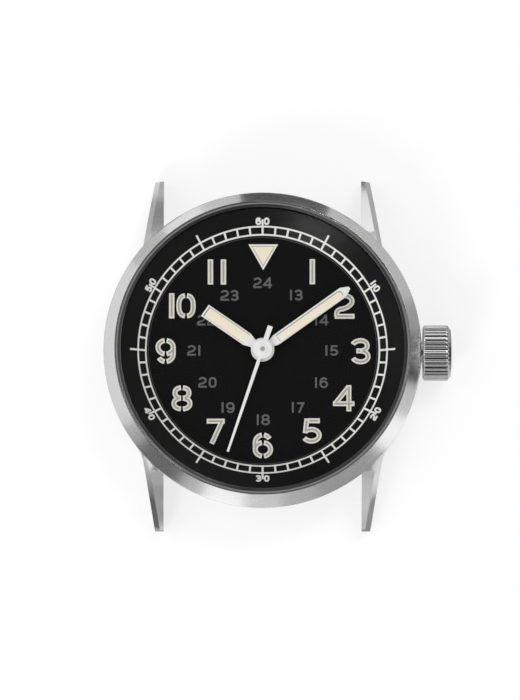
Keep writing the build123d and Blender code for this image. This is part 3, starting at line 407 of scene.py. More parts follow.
def fluted_steel(name, depth_seen=0.05, darkening=9.0):
    """Crown steel with painted shade at the bottom of the flutes: the tone falls with the depth under
    the crown's full radius, which is measured square to its axis. The ridges between them differ in
    tone."""
    shader = Shader(name)
    x, y, z = (
        shader.node("ShaderNodeSeparateXYZ", None, {0: shader.place()}, output=axis) for axis in "XYZ"
    )
    above = z - crown_z
    radius = shader.maths("SQRT", y * y + above * above)
    depth = shader.maths("MULTIPLY", (crown_radius - depth_seen) - radius, darkening)
    # Painted shade mask: 0 on the ridges, rising to 1 deep in each flute
    groove = shader.maths("MINIMUM", shader.maths("MAXIMUM", depth, 0.0), 1.0)
    fluted = shader.maths("LESS_THAN", x, crown_flute_end) * x.above(crown_flute_start)
    marks = shader.noise(shader.place((2, 14, 14)), detail=3.0)
    ridges = shader.noise(shader.place((0, 1.7, 1.7)), detail=0.0)
    varied = shader.blend((ridges - 0.35) * 3, grey(0.3), grey(0.72))
    bright = shader.blend(fluted, grey(0.6), varied)
    return shader.finish({
        # Painted shade: the flutes' floors are blended to near black
        "Base Color": shader.blend(groove * fluted, bright, grey(0.035)),
        "Metallic": 1.0,
        "Roughness": marks * 0.08 + 0.2,
        "Normal": shader.bump(marks, 0.0003),
    })


def matt_paint(
    name, paint, roughness=0.5, grain_scale=30.0, grain_depth=0.002, variation=0.1, gloss=0.3
):
    """Paint or print with a fine grain and slight changes of tone."""
    shader = Shader(name)
    grain = shader.noise(shader.place(), scale=grain_scale)
    darker = tuple((1 - variation) * level for level in paint[:3]) + (1,)
    return shader.finish({
        "Base Color": shader.blend(grain, darker, paint),
        "Roughness": grain * 0.1 + (roughness - 0.05),
        "Specular IOR Level": gloss,
        "Normal": shader.bump(grain, grain_depth),
    })


def luminous_paint(name):
    """Cream luminous paint: sandy grain with soft pink and yellow-green clouds, paler by the hub."""
    shader = Shader(name)
    sand = shader.noise(shader.place(), scale=9.0, detail=3.0)
    clouds = shader.noise(shader.place(), scale=0.9, detail=1.0)
    cloudy = shader.blend((clouds - 0.4) * 5, colour(236, 220, 200), colour(231, 226, 196))
    sandy = shader.blend(sand * 0.4, cloudy, colour(240, 234, 212))
    return shader.finish({
        "Base Color": shader.blend((shader.reach() - 2.2) * 0.7, colour(232, 230, 224), sandy),
        "Roughness": 0.75,
        "Normal": shader.bump(sand, 0.012),
    })


def clear_glass(name, rim_start):
    """Coated watch glass: it mirrors more, the more slanting the view is. Its ground bevel at the rim is
    painted dark, as painted shade for what it shows: an almost black, nearly opaque mirror, because it
    looks into the glass's own side."""
    shader = Shader(name)
    rim = shader.reach().above(rim_start)
    smears = shader.noise(shader.place(), scale=0.35)
    slant = shader.node("ShaderNodeLayerWeight", None, {"Blend": 0.5}, output="Facing")
    clear = shader.node("ShaderNodeBsdfTransparent")
    gloss = shader.node(
        "ShaderNodeBsdfPrincipled",
        None,
        {
            # Painted shade: the rim is an almost black, nearly opaque mirror
            "Base Color": shader.blend(rim, grey(1.0), grey(0.02)),
            "Metallic": 1 - rim,
            "Roughness": rim * 0.16 + 0.04 + smears * 0.03,
            "IOR": 1.5,
        },
    )
    share = shader.maths("POWER", slant, 5.0) * 0.5 + 0.012 + rim * 0.9
    surface = shader.node("ShaderNodeMixShader", None, {0: share, 1: clear, 2: gloss})
    shader.node("ShaderNodeOutputMaterial", None, {"Surface": surface})
    return shader.material


def wound_copper(name, turns_per_mm=9.0):
    """Coil of fine copper wire: ribs along the coil's axis, X, one for each turn."""
    shader = Shader(name)
    along = shader.node("ShaderNodeSeparateXYZ", None, {0: shader.place()}, output="X")
    ribs = (along * (turns_per_mm * 2 * math.pi)).sine()
    return shader.finish({
        "Base Color": shader.blend(ribs * 0.5 + 0.5, colour(120, 62, 36), colour(212, 132, 88)),
        "Metallic": 1.0,
        "Roughness": 0.35,
        "Normal": shader.bump(ribs, 0.01),
    })


def tinted_plastic(name, tint, roughness=0.45):
    """Moulded plastic or rubber with a fine spark-eroded grain."""
    return matt_paint(name, tint, roughness, grain_scale=14.0, grain_depth=0.004, variation=0.18)


steel_tone = colour(208, 208, 205)
brass_tone = colour(214, 178, 112)
materials = {
    "case_steel": straight_brushed_steel("case_steel"),
    "bezel_steel": round_brushed_steel("bezel_steel"),
    "crown_steel": fluted_steel("crown_steel"),
    "crystal_glass": clear_glass("crystal_glass", glass_radius - glass_bevel_width - glass_corner),
    "dial_black": matt_paint("dial_black", colour(11, 11, 11), 0.6, grain_depth=0.0002, gloss=0.03),
    "chapter_black": matt_paint("chapter_black", colour(6, 6, 6), 0.33, grain_depth=0.0002, gloss=0.09),
    "hand_silver": matt_paint("hand_silver", colour(236, 236, 233), roughness=0.3, gloss=0.8),
    "hand_white": matt_paint("hand_white", colour(236, 236, 233), roughness=0.35),
    "lume_cream": luminous_paint("lume_cream"),
    "seal_rubber": tinted_plastic("seal_rubber", colour(22, 22, 22), 0.6),
    "spacer_plastic": tinted_plastic("spacer_plastic", colour(196, 194, 186)),
    "plate_metal": straight_brushed_steel("plate_metal", (4, 4, 4), 0.7, 0.35),
    "wheel_brass": polished_metal("wheel_brass", brass_tone, roughness=0.25),
    "stem_steel": polished_metal("stem_steel", steel_tone, roughness=0.15),
    "magnet_dark": polished_metal("magnet_dark", colour(92, 92, 96), roughness=0.3),
    "stator_metal": polished_metal("stator_metal", colour(176, 176, 172), roughness=0.4),
    "coil_copper": wound_copper("coil_copper"),
    "board_green": tinted_plastic("board_green", colour(28, 88, 48), 0.35),
    "chip_black": tinted_plastic("chip_black", colour(20, 20, 22), 0.5),
    "cell_steel": polished_metal("cell_steel", colour(200, 200, 198), roughness=0.22),
    "clamp_steel": polished_metal("clamp_steel", steel_tone, roughness=0.28),
}

# Finishes of pieces that share another piece's slot
print_white = matt_paint("print_white", colour(230, 230, 226), roughness=0.55)
numeral_white = matt_paint("numeral_white", colour(218, 217, 207), roughness=0.55)
print_grey = matt_paint("print_grey", colour(92, 92, 92), roughness=0.6)
# Grey of the painted shadow line round the hands' paint
painted_shadow_grey = matt_paint("painted_shadow_grey", colour(140, 138, 130), roughness=0.7)
# Grey of the numerals' inner lines and the second hand's pivot, and also the painted shadow line round
# the triangle's paint
groove_and_shadow_grey = matt_paint("groove_and_shadow_grey", colour(158, 157, 149), roughness=0.6)
lip_steel = polished_metal(
    "lip_steel", colour(200, 200, 197), roughness=0.1, wear=0.02, relief=0.0
)
gasket_grey = tinted_plastic("gasket_grey", colour(134, 134, 134), 0.5)
# Grey of the painted highlight on the chapter ring's inner edge
painted_highlight_grey = matt_paint("painted_highlight_grey", colour(60, 60, 60), roughness=0.5)


# Case, bezel and glass

def dress_frame_nodes():
    """Gives every CAD node the material of its slot."""
    for subpart in frame["record"]["subparts"]:
        mesh = frame["nodes"][subpart["node"]].data
        mesh.materials.clear()
        mesh.materials.append(materials[subpart["material_slot"]])


def make_bezel():
    """Bezel turned from its section: a short upright band, the brushed slope and a polished lip. The
    lip is a ring of its own, which laps over the slope's upper edge by a hair."""
    lip_outer = 17.95
    lip_inner = 17.77
    lip_bevel_width = 0.04
    lip_bevel_height = 0.1
    lip_rounding = 0.02
    lip_lap = 0.004
    lip_foot_inset = 0.01
    inner_wall_inset = 0.02
    inner_wall_foot = 0.2
    neck_bore = 17.25
    neck_radius = 18.32
    foot_bevel = 0.1
    band_top = bezel_low[2] + 0.55
    shoulder = bezel_low[2] + 0.85
    slope_low = np.array([case_radius, band_top])
    slope_high = np.array([lip_outer, bezel_high[2] - lip_rise])
    slope = slope_low + np.linspace(0, 1, 6)[1:-1, None] * (slope_high - slope_low)
    outline = [
        (neck_bore, glass_seat),
        (neck_bore, shoulder),
        (neck_radius, shoulder),
        (neck_radius, bezel_low[2]),
        (case_radius - foot_bevel, bezel_low[2]),
        (case_radius, bezel_low[2] + foot_bevel),
        slope_low,
        *slope,
        slope_high,
        (lip_outer - inner_wall_inset, glass_seat + inner_wall_foot),
        (lip_inner, glass_seat),
    ]
    make_piece("bezel_ring", [turned(outline)], "case", "bezel_steel", ["bezel"])
    lip = [
        (lip_inner, glass_seat),
        (lip_outer - lip_foot_inset, glass_seat),
        (lip_outer + lip_lap, bezel_high[2] - lip_bevel_height),
        (lip_outer - lip_bevel_width, bezel_high[2]),
        (lip_inner, bezel_high[2]),
    ]
    lip_ring = turned(rounded(lip, lip_rounding))
    make_piece("bezel_lip", [lip_ring], "case", "bezel_steel", finish=lip_steel)


def make_gasket():
    """Grey ring in the groove between the glass and the lip, a little narrower than the groove."""
    clearance = 0.005
    width = 0.2
    rounding = 0.02
    inner = glass_radius + clearance
    outer = inner + width
    top = bezel_high[2] - lip_rise
    section = [(inner, glass_seat), (outer, glass_seat), (outer, top), (inner, top)]
    ring = turned(rounded(section, rounding))
    make_piece("glass_gasket", [ring], "case", "seal_rubber", ["crystal_gasket"], gasket_grey)


def make_glass():
    """Domed glass: a circular arc over the flat, then the ground bevel and the upright edge. The corner
    between dome and bevel is a quadratic curve, so that it catches the lamps."""
    dome_rise = 0.6
    flat_radius = glass_radius - glass_bevel_width
    edge_top = glass_high[2] - dome_rise
    ball = (flat_radius**2 + dome_rise**2) / (2 * dome_rise)
    radius = np.linspace(0, flat_radius - glass_corner, 40)
    height = glass_high[2] - ball + np.sqrt(ball**2 - radius**2)
    bevel_step = np.array([glass_corner, -glass_corner * glass_bevel_height / glass_bevel_width])
    t = np.linspace(0, 1, 9)[1:, None]
    dome_end, corner = np.array([radius[-1], height[-1]]), np.array([flat_radius, edge_top])
    curve = (1 - t) ** 2 * dome_end + 2 * t * (1 - t) * corner + t**2 * (corner + bevel_step)
    outline = [
        *zip(radius, height),
        *curve,
        (glass_radius, edge_top - glass_bevel_height),
        (glass_radius, glass_seat),
        (0, glass_seat),
    ]
    make_piece("glass", [turned(outline)], "case", "crystal_glass", ["crystal"], sharp=12)


def make_chapter_ring():
    """Chapter ring turned from its section: a low foot on the dial, the slope and a narrow flat rim. A
    fine ridge lies on the corner at the slope's foot, painted grey as a painted highlight of the light
    its edge catches."""
    foot_radius = 15.05
    foot_rise = 0.2
    skirt_width = 1.0
    skirt_height = 0.9
    ridge_offset = 0.001
    ridge_width = 0.07
    ridge_low = dial_top + slope_foot
    ridge_inner_rise = 0.03
    ridge_outer_rise = 0.05
    outline = [
        (slope_start, dial_top),
        (slope_start, dial_top + slope_foot),
        (slope_end, chapter_high[2]),
        (chapter_outer, chapter_high[2]),
        (chapter_outer, chapter_high[2] - skirt_height),
        (chapter_outer - skirt_width, dial_top + foot_rise),
        (foot_radius, dial_top + foot_rise),
        (foot_radius, dial_top),
    ]
    make_piece(
        "minute_ring", [turned(outline)], "case", "chapter_black", ["chapter_ring"], sharp=25
    )
    ridge = [
        (slope_start + ridge_offset, ridge_low),
        (slope_start + ridge_offset, ridge_low + ridge_inner_rise),
        (slope_start + ridge_width, ridge_low + ridge_outer_rise),
    ]
    make_piece("minute_ring_painted_highlight", [turned(ridge)], "case", "chapter_black", finish=painted_highlight_grey)


def make_crown():
    """Crown: its radius follows the side view along X and, over the flutes, dips between round ridges
    by 1 - sqrt(1 - d * d), where d is the distance to the ridge's middle. Each point of the two edges
    is given as its place along X, its drop below the full radius and its share of the flutes' depth."""
    flutes = 36
    steps_per_flute = 10
    flute_depth = 0.26
    roundness = 0.96
    near_edge = [(0, 0.35, 0), (0.12, 0.12, 0.6), (0.24, 0, 1), (0.28, 0, 1)]
    far_edge = [(-0.24, 0, 1), (-0.2, 0, 1), (0, 0.06, 0.8), (0.12, 0.2, 0.35)]
    tip_radius = 2.85
    tip_edge = (crown_flute_end + 0.24, tip_radius + 0.08, 0)
    dome_start = crown_high[0] - 0.21
    cavity_radius = 1.78
    cavity_end = 21.8
    angle = np.linspace(0, 2 * np.pi, flutes * steps_per_flute, endpoint=False)
    across = (angle * flutes / (2 * np.pi)) % 1 - 0.5
    dip = flute_depth * (1 - np.sqrt(1 - (2 * across) ** 2 * roundness))
    dome_radius = np.linspace(tip_radius, 0, 9)
    dome_x = dome_start + (crown_high[0] - dome_start) * (1 - (dome_radius / tip_radius) ** 2)
    outline = [
        (cavity_end, 0, 0),
        (cavity_end, cavity_radius, 0),
        (crown_low[0], cavity_radius, 0),
        *[(crown_low[0] + x, crown_radius - drop, share) for x, drop, share in near_edge],
        *[(crown_flute_end + x, crown_radius - drop, share) for x, drop, share in far_edge],
        tip_edge,
        *[(x, radius, 0) for x, radius in zip(dome_x, dome_radius)],
    ]
    along, radius, fluted = np.array(outline).T
    radii = radius - fluted * dip[:, None]
    turn = angle[:, None]
    points = np.stack(
        [along + 0 * turn, radii * np.cos(turn), crown_z + radii * np.sin(turn)], axis=-1
    )
    knob = grid(points, round_stations=True, round_profile=False, capped=False)
    make_piece("crown_knob", [knob], "crown", "crown_steel", ["crown"], sharp=50)


# Hands

def blade(stations, low, high, bevel=0.06):
    """Hand lying along +Y: at each station, given as reach, half width, window half width and window
    depth, the section is a bevelled bar whose top drops to the window's floor between its sides."""
    rows = []
    for reach, half, window, depth in stations:
        edge = min(bevel, half * 0.5)
        section = [
            (-half, low), (-half, high - edge), (edge - half, high), (-window, high),
            (-window, high - depth), (window, high - depth), (window, high), (half - edge, high),
            (half, high - edge), (half, low),
        ]
        rows.append([(x, reach, z) for x, z in section])
    return grid(np.array(rows))


def lume_pad(stations, floor, top, crown=0.03):
    """Paint in a hand's window: between its edges the top rises by a crown that falls off with the
    square of the distance to the middle."""
    across = np.linspace(-1, 1, 9)
    rows = []
    for reach, half in stations:
        height = top + crown * (1 - across**2)
        upper = np.column_stack([across * half, np.full(len(across), reach), height])
        rows.append(np.vstack([upper, [(half, reach, floor), (-half, reach, floor)]]))
    return grid(np.array(rows))


def turned_to(part, bearing):
    """Part along +Y turned clockwise to a bearing from 12 o'clock, as seen from the dial's side."""
    return placed(part, turn=-bearing)


def bearing_of(node):
    """Bearing, clockwise from 12 o'clock, of the middle of a CAD node."""
    low, high = box_of(node)
    middle = (low + high) / 2
    return math.atan2(middle[0], middle[1])


def make_framed_hand(name, body, stations, window, hub_radius, bore):
    """Hour or minute hand: a bevelled frame with a hub ring, and its window filled with paint. The
    stations and the window are lists of reach and half width. Round the paint lies a painted shadow: a
    grey strip on the window's floor, which shows as a dark line that is widest at its upper left, where
    the paint is moved off the middle."""
    recess = 0.09
    hub_rise = 0.015
    hub_rounding = 0.05
    hub_steps = 96
    paint_gap = 0.05
    paint_drop = 0.03
    shadow_line_gap = 0.004
    shadow_line_drop = 0.07
    low, high = box_of(name)[0][2], box_of(name)[1][2]
    hub_top = high + hub_rise
    floor = high - recess
    bearing = bearing_of(name + "_lume")
    start, end = window[0][0], window[-1][0]
    plain = [(reach, half, 0.5 * half, 0) for reach, half in stations]
    widths = np.array(stations).T
    inner = [(reach, np.interp(reach, *widths), half, recess) for reach, half in window]
    rim = [(start, inner[0][1], window[0][1], 0), (end, inner[-1][1], window[-1][1], 0)]
    before = [row for row in plain if row[0] < start]
    after = [row for row in plain if row[0] > end]
    between = [
        (reach, half, np.interp(reach, *np.array(window).T), recess)
        for reach, half, _, _ in plain
        if start < reach < end
    ]
    middle = sorted(inner + between)
    frame_part = blade([*before, rim[0], *middle, rim[1], *after], low, high)
    hub_section = [(bore, low), (hub_radius, low), (hub_radius, hub_top), (bore, hub_top)]
    hub = turned(rounded(hub_section, hub_rounding), hub_steps)
    frame_parts = [turned_to(frame_part, bearing), hub]
    make_piece(name + "_frame", frame_parts, body, "hand_silver", [name])
    pad = [(reach, half - paint_gap) for reach, half in window]
    pad[0] = (pad[0][0] + paint_gap, pad[0][1])
    pad[-1] = (pad[-1][0] - 2 * paint_gap, pad[-1][1])
    paint = turned_to(lume_pad(pad, floor, high - paint_drop), bearing)
    paint = placed(paint, centre=(0.5 * paint_gap, -0.8 * paint_gap))
    make_piece(name + "_paint", [paint], body, "lume_cream", [name + "_lume"], sharp=60)
    # Painted shadow: a grey strip under the paint stands for the shade in the window's recess
    shadow_line_pad = lume_pad([(reach, half - shadow_line_gap) for reach, half in window], floor, high - shadow_line_drop, 0)
    shadow_line_parts = [turned_to(shadow_line_pad, bearing)]
    make_piece(name + "_painted_shadow_line", shadow_line_parts, body, "lume_cream", finish=painted_shadow_grey, sharp=60)


def make_hands():
    """Hour and minute hands with paint in their windows, and the second hand over them."""
    hub_radius = 1.42
    hour_hand = [(0.9, 0.545), (1.45, 0.545), (2.3, 0.825), (8.5, 0.825)]
    hour_window = [(2.3, 0.65), (8.3, 0.65)]
    hour_bore = 0.76
    make_framed_hand("hour_hand", "hours", hour_hand, hour_window, hub_radius, hour_bore)
    minute_hand = [(0.9, 0.49), (1.38, 0.49), (2.0, 0.665), (12.0, 0.665), (12.94, 0.18)]
    minute_window = [(2.3, 0.46), (11.45, 0.46), (11.85, 0.24)]
    minute_bore = 0.5
    make_framed_hand("minute_hand", "minutes", minute_hand, minute_window, hub_radius, minute_bore)
    make_second_hand()


def make_second_hand():
    """White needle with its boss, a disc turned from its section whose middle rises to a collar round
    the grey end of the second wheel's arbor."""
    bearing = math.radians(198.6)
    plate_thick = 0.12
    needle_bevel = 0.02
    disc_steps = 96
    pivot_radius = 0.25
    pivot_bevel_width = 0.05
    pivot_bevel_height = 0.02
    pivot_stand = 0.01
    pivot_steps = 48
    collar_floor = 0.06
    low = box_of("second_hand")[0][2]
    plate_top = low + plate_thick
    needle = [(-2.95, 0.315), (-0.6, 0.3), (0, 0.26), (0.8, 0.22), (13.2, 0.135)]
    stations = [(reach, half, 0.5 * half, 0) for reach, half in needle]
    bar = turned_to(blade(stations, low, plate_top, needle_bevel), bearing)
    under = [(0, -0.005), (1.16, -0.005), (1.19, 0.03)]
    over = [
        (1.19, -0.02), (1.15, 0.02), (0.62, 0.03), (0.56, 0.07), (0.5, 0.1), (0.3, 0.11),
        (0.27, collar_floor), (0, collar_floor),
    ]
    section = [(radius, low + rise) for radius, rise in under]
    section += [(radius, plate_top + rise) for radius, rise in over]
    disc = turned(section, disc_steps)
    make_piece("second_needle", [bar, disc], "seconds", "hand_white", ["second_hand"])
    smooth_copy("second_wheel", "seconds", "wheel_brass")
    pivot_top = max(box_of("second_wheel")[1][2], plate_top + collar_floor) + pivot_stand
    pivot = [
        (0, plate_top),
        (pivot_radius, plate_top),
        (pivot_radius, pivot_top - pivot_bevel_height),
        (pivot_radius - pivot_bevel_width, pivot_top),
        (0, pivot_top),
    ]
    make_piece(
        "second_pivot", [turned(pivot, pivot_steps)], "seconds", "stem_steel", finish=groove_and_shadow_grey
    )


# Numerals: strokes in the photograph's pixels about each digit's middle, y upwards

digit_height_px = 26.5

# Thickness of the print. Each stroke's top lies a lift above the last one's, the ticks a hair above
# the track's circles and its numbers two, so that no two faces coincide
print_height = 0.03
fine_print_height = 0.012
groove_rise = 0.009
stroke_lift = 0.0006
hair = 0.001

# Where the photograph shows the middle of each number on the dial
hour_places_px = {
    "1": (312.4, 271.6), "2": (344.6, 306.2), "3": (360.9, 351.1), "4": (343.7, 398.2),
    "5": (312.1, 430.9), "6": (262.9, 445.5), "7": (215.8, 431.0), "8": (182.0, 398.3),
    "9": (165.6, 351.0), "10": (182.3, 305.8), "11": (216.9, 271.9),
}
day_places_px = {
    "24": (262.5, 282.8), "13": (296.0, 295.0), "14": (321.2, 320.0), "15": (331.4, 350.5),
    "16": (321.0, 382.7), "17": (297.8, 407.4), "18": (262.8, 419.7), "19": (227.6, 407.5),
    "20": (207.6, 382.4), "21": (194.3, 350.5), "22": (206.4, 320.3), "23": (229.7, 295.4),
}

# Radii of the minute track: its two circles, the ends of its longer ticks and its numbers' middles,
# which lie further out where the numbers are turned inwards
track_inner = 14.13
track_outer = 15.05
long_tick_end = 16.02
tens_tick_end = 15.86
minute_digit_reach = 15.64
low_digit_reach = 15.77


def arc(centre, radii, start, end, squareness=2.0):
    """Part of an oval from one angle to another, in degrees anticlockwise from 3 o'clock. The cosine and
    sine are raised to 2 / squareness, so 2 gives an ellipse and more gives fuller corners."""
    angle = np.radians(np.linspace(start, end, max(6, int(abs(end - start) / 9))))
    turn = np.column_stack([np.cos(angle), np.sin(angle)])
    return np.array(centre) + np.array(radii) * np.sign(turn) * np.abs(turn) ** (2 / squareness)


def line(*points):
    return np.array(points, float)


def side_arcs(centre, radii, gap, squareness=2.0):
    """Right and left half of an oval, cut by an upright stencil gap through its middle."""
    cut = math.degrees(math.asin((gap / 2 / radii[0]) ** (squareness / 2)))
    return [
        arc(centre, radii, 90 - cut, cut - 90, squareness),
        arc(centre, radii, 90 + cut, 270 - cut, squareness),
    ]


def nine(gap):
    """Strokes of a 9: a bowl, a straight right side and a hooked tail, cut by the stencil gap."""
    half_width = 7.65
    cut = math.degrees(math.asin(gap / 2 / half_width))
    bowl = ((0, 3.8), (half_width, 6.8))
    tail = ((0, -3.1), (half_width, 7.6))
    return [
        np.vstack([arc(*bowl, 90 - cut, 0), arc(*tail, 0, cut - 90)]),
        arc(*bowl, 90 + cut, 270 - cut),
        arc(*bowl, cut - 90, -8),
        arc(*tail, -90 - cut, -150),
    ]


def digit_strokes(gap=0.0):
    """Centre-lines of the digits; the gap is the width of the stencil cut in the closed ones."""
    return {
        "0": side_arcs((0, 0), (7.2, 10.3), gap, 2.5),
        "1": [line((0, -12.7), (0, 12.7))],
        "2": [
            np.vstack([
                arc((0, 5), (7.5, 5.7), 165, -38),
                line((2.6, -1.2), (-1.4, -2.6)),
                arc((-2.2, -7.4), (5.8, 4.6), 95, 180),
                line((-8, -10.2)),
            ]),
            line((-9.9, -10.2), (9.9, -10.2)),
        ],
        "3": [
            np.vstack([arc((0, 5.4), (8.2, 5.2), 165, 90), arc((0, 5.4), (6.4, 5.2), 84, -90)]),
            line((-4.6, 0.2), (1.0, 0.2)),
            np.vstack([arc((0, -5.4), (7.2, 5.4), 90, -90), arc((0, -5.4), (8.2, 5.4), -96, -162)]),
        ],
        "4": [
            line((5.1, -13.2), (5.1, 13.2)),
            line((-10.7, -5.5), (10.7, -5.5)),
            line((4.6, 11.2), (-8.4, -5.2)),
        ],
        "5": [
            line((-4.6, 10.3), (7.7, 10.3)),
            line((-5.2, 12.4), (-6.9, -2.2)),
            np.vstack([
                arc((-0.8, -4.3), (7.9, 5.9), 140, -90),
                arc((-0.8, -4.3), (7.9, 5.9), -96, -152),
            ]),
        ],
        "6": [-stroke for stroke in nine(gap)],
        "7": [line((-9.0, 10.0), (9.0, 10.0)), line((6.4, 10.4), (-4.0, -12.7))],
        "8": side_arcs((0, 5.4), (7.0, 5.3), gap, 2.2) + side_arcs((0, -5.3), (8.0, 5.4), gap, 2.2),
        "9": nine(gap),
    }


def shortened(path, cut):
    """Path without its first and last stretch: the cut is a length along it."""
    steps = np.linalg.norm(np.diff(path, axis=0), axis=1)
    run = np.concatenate([[0], np.cumsum(steps)])
    wanted = np.linspace(cut, run[-1] - cut, max(2, len(path)))
    return np.column_stack([np.interp(wanted, run, path[:, axis]) for axis in (0, 1)])


def digits(text, height_px, weight_px, spacing_px, thickness, widening=1.0):
    """Strips for a number's digits side by side about zero, each as high as given and its strokes as
    wide as the weight."""
    narrow_share = 0.55
    scale = height_px / digit_height_px * pixel
    strokes = digit_strokes()
    widths = [narrow_share if digit == "1" else 1 for digit in text]
    middles = np.cumsum(widths) - np.array(widths) / 2
    middles = (middles - sum(widths) / 2) * spacing_px * pixel
    parts = []
    for digit, middle in zip(text, middles):
        for path_px in strokes[digit]:
            path = path_px * scale * [widening, 1] + [middle, 0]
            parts.append(strip(path, weight_px * pixel, 0, thickness + stroke_lift * len(parts)))
    return parts


def dial_point(x_px, y_px):
    """Point on the dial, in millimetres, that the photograph shows at a pixel."""
    return np.array([
        (x_px - dial_centre_px[0]) * pixel,
        (dial_centre_px[1] - y_px) * pixel / math.sin(camera_elevation),
    ])


def hour_numeral(text):
    """White strips and grey groove strips of one hour numeral, in millimetres about its middle."""
    bar_width_px = 5.4
    stroke_px = 4.9
    groove_px = 1.8
    gap_px = 2.1
    groove_end_px = 1.7
    pair_offsets_px = {"10": (-10.65, 3.65), "11": (-6.5, 6.5)}
    offsets_px = pair_offsets_px.get(text, (0,))
    strokes = digit_strokes(gap_px)
    white, groove = [], []
    for digit, offset_px in zip(text, offsets_px):
        for path_px in strokes[digit]:
            path = (path_px + [offset_px, 0]) * pixel
            width = bar_width_px if digit == "1" else stroke_px
            top = print_height + stroke_lift * len(white)
            white.append(strip(path, width * pixel, 0, top))
            inner = shortened(path, groove_end_px * pixel)
            groove.append(strip(inner, groove_px * pixel, 0, top + groove_rise))
    return white, groove


def make_hour_numerals():
    """The hours 1 to 11, upright, white with a grey line inside each stroke."""
    white, groove = [], []
    for text, place_px in hour_places_px.items():
        centre = dial_point(*place_px)
        strokes, lines = hour_numeral(text)
        white += [on_face(placed(part, centre=centre)) for part in strokes]
        groove += [on_face(placed(part, centre=centre)) for part in lines]
    make_piece("hour_numerals", white, "case", "dial_black", finish=numeral_white)
    make_piece("hour_numeral_lines", groove, "case", "dial_black", finish=groove_and_shadow_grey)


def make_day_numerals():
    """The small grey numbers 13 to 24 inside the hours."""
    height_px = 11.2
    weight_px = 1.9
    spacing_px = 10
    parts = []
    for text, place_px in day_places_px.items():
        centre = dial_point(*place_px)
        for part in digits(text, height_px, weight_px, spacing_px, fine_print_height):
            parts.append(on_face(placed(part, centre=centre)))
    make_piece("day_numerals", parts, "case", "dial_black", finish=print_grey)


def make_minute_track():
    """Two circles joined by sixty ticks, with longer ticks at the fives and a number at each ten."""
    line_width = 1.6 * pixel
    tick_width = 2.0 * pixel
    tick_height = fine_print_height + hair
    around = np.linspace(0, 2 * np.pi, 361)
    circle = np.column_stack([np.cos(around), np.sin(around)])
    parts = [
        strip(circle * track_inner, line_width, 0, fine_print_height),
        strip(circle * track_outer, line_width, 0, fine_print_height),
    ]
    for minute in range(60):
        end = track_outer
        if minute % 5 == 0:
            end = tens_tick_end if minute % 10 == 0 else long_tick_end
        reaches = np.linspace(track_inner, end, 4)
        tick = np.column_stack([0 * reaches, reaches])
        parts.append(turned_to(strip(tick, tick_width, 0, tick_height), math.radians(6 * minute)))
    for minute in range(10, 61, 10):
        parts += minute_number(minute)
    make_piece(
        "minute_track", [on_face(part) for part in parts], "case", "chapter_black", finish=print_white
    )


def minute_number(minute):
    """Number beside a ten's tick, one digit on each side of it. Its feet point to the dial's middle, or
    outwards in the lower half."""
    height_px = 6.6
    weight_px = 1.85
    spacing = 8.2 * pixel
    narrow_share = 0.75
    widening = 1.06
    thickness = fine_print_height + 2 * hair
    inward = minute in (20, 30, 40)
    reach = low_digit_reach if inward else minute_digit_reach
    parts = []
    for index, digit in enumerate(str(minute)):
        side = (index - 0.5) * spacing * (narrow_share if digit == "1" else 1)
        shift = -side if inward else side
        for part in digits(digit, height_px, weight_px, 0, thickness, widening):
            flipped = placed(part, turn=math.pi if inward else 0)
            parts.append(turned_to(placed(flipped, centre=(shift, reach)), math.radians(6 * minute)))
    return parts


def make_top_triangle():
    """The triangle at 12: a white outline and, round the luminous paint, a grey line of painted shadow.
    Each of them is a section carried round the three corners. Its points are a share of the way from the
    middle to the corner, and the height there."""
    corners_px = [(248.4, 244.2), (278.1, 244.2), (263.2, 270.0)]
    outline_share = 0.8
    paint_share = 0.72
    corners = np.array([dial_point(x_px, y_px) for x_px, y_px in corners_px])
    middle = corners.mean(axis=0)

    def triangle(section, closed=True):
        rows = [
            [(*(middle + (corner - middle) * share), height) for share, height in section]
            for corner in corners
        ]
        return on_face(grid(np.array(rows), round_stations=True, round_profile=closed, capped=False))

    def ring(outer, inner):
        return triangle([(outer, 0), (outer, print_height), (inner, print_height), (inner, 0)])

    outline = ring(1.0, outline_share)
    make_piece("top_triangle", [outline], "case", "dial_black", finish=print_white)
    # Painted shadow: the grey ring between the outline and the paint stands for the shade of the step
    painted_shadow_line = ring(outline_share, paint_share)
    make_piece("top_triangle_painted_shadow", [painted_shadow_line], "case", "dial_black", finish=groove_and_shadow_grey)
    crowned = [(0.0, 0), (paint_share, 0), (paint_share, 0.04), (0.6, 0.05), (0.0, 0.06)]
    paint = triangle(crowned, closed=False)
    make_piece("top_triangle_paint", [paint], "case", "lume_cream", sharp=20)


# Studio

def facing(direction):
    """Turn that points an object's -Z axis along a direction, with its Y axis up."""
    return Vector(direction).to_track_quat("-Z", "Y")


def make_lamp(name, centre, size, strength):
    """Soft rectangular lamp that faces the middle of the watch."""
    aim = (0, 0, 5)
    lamp = bpy.data.lights.new(name, "AREA")
    lamp.shape = "RECTANGLE"
    lamp.size, lamp.size_y = size[0] * MM, size[1] * MM
    lamp.energy = strength
    holder = bpy.data.objects.new(name, lamp)
    holder.location = np.array(centre) * MM
    holder.rotation_mode = "QUATERNION"
    holder.rotation_quaternion = facing((np.array(aim) - np.array(centre)).tolist())
    bpy.context.collection.objects.link(holder)


def stage_piece(name, part, material):
    """Piece of the studio, which isn't part of the watch."""
    points, faces = part
    mesh = bpy.data.meshes.new(name)
    mesh.from_pydata(points * MM, [], faces)
    mesh.materials.append(material)
    piece = bpy.data.objects.new(name, mesh)
    bpy.context.collection.objects.link(piece)
    return piece


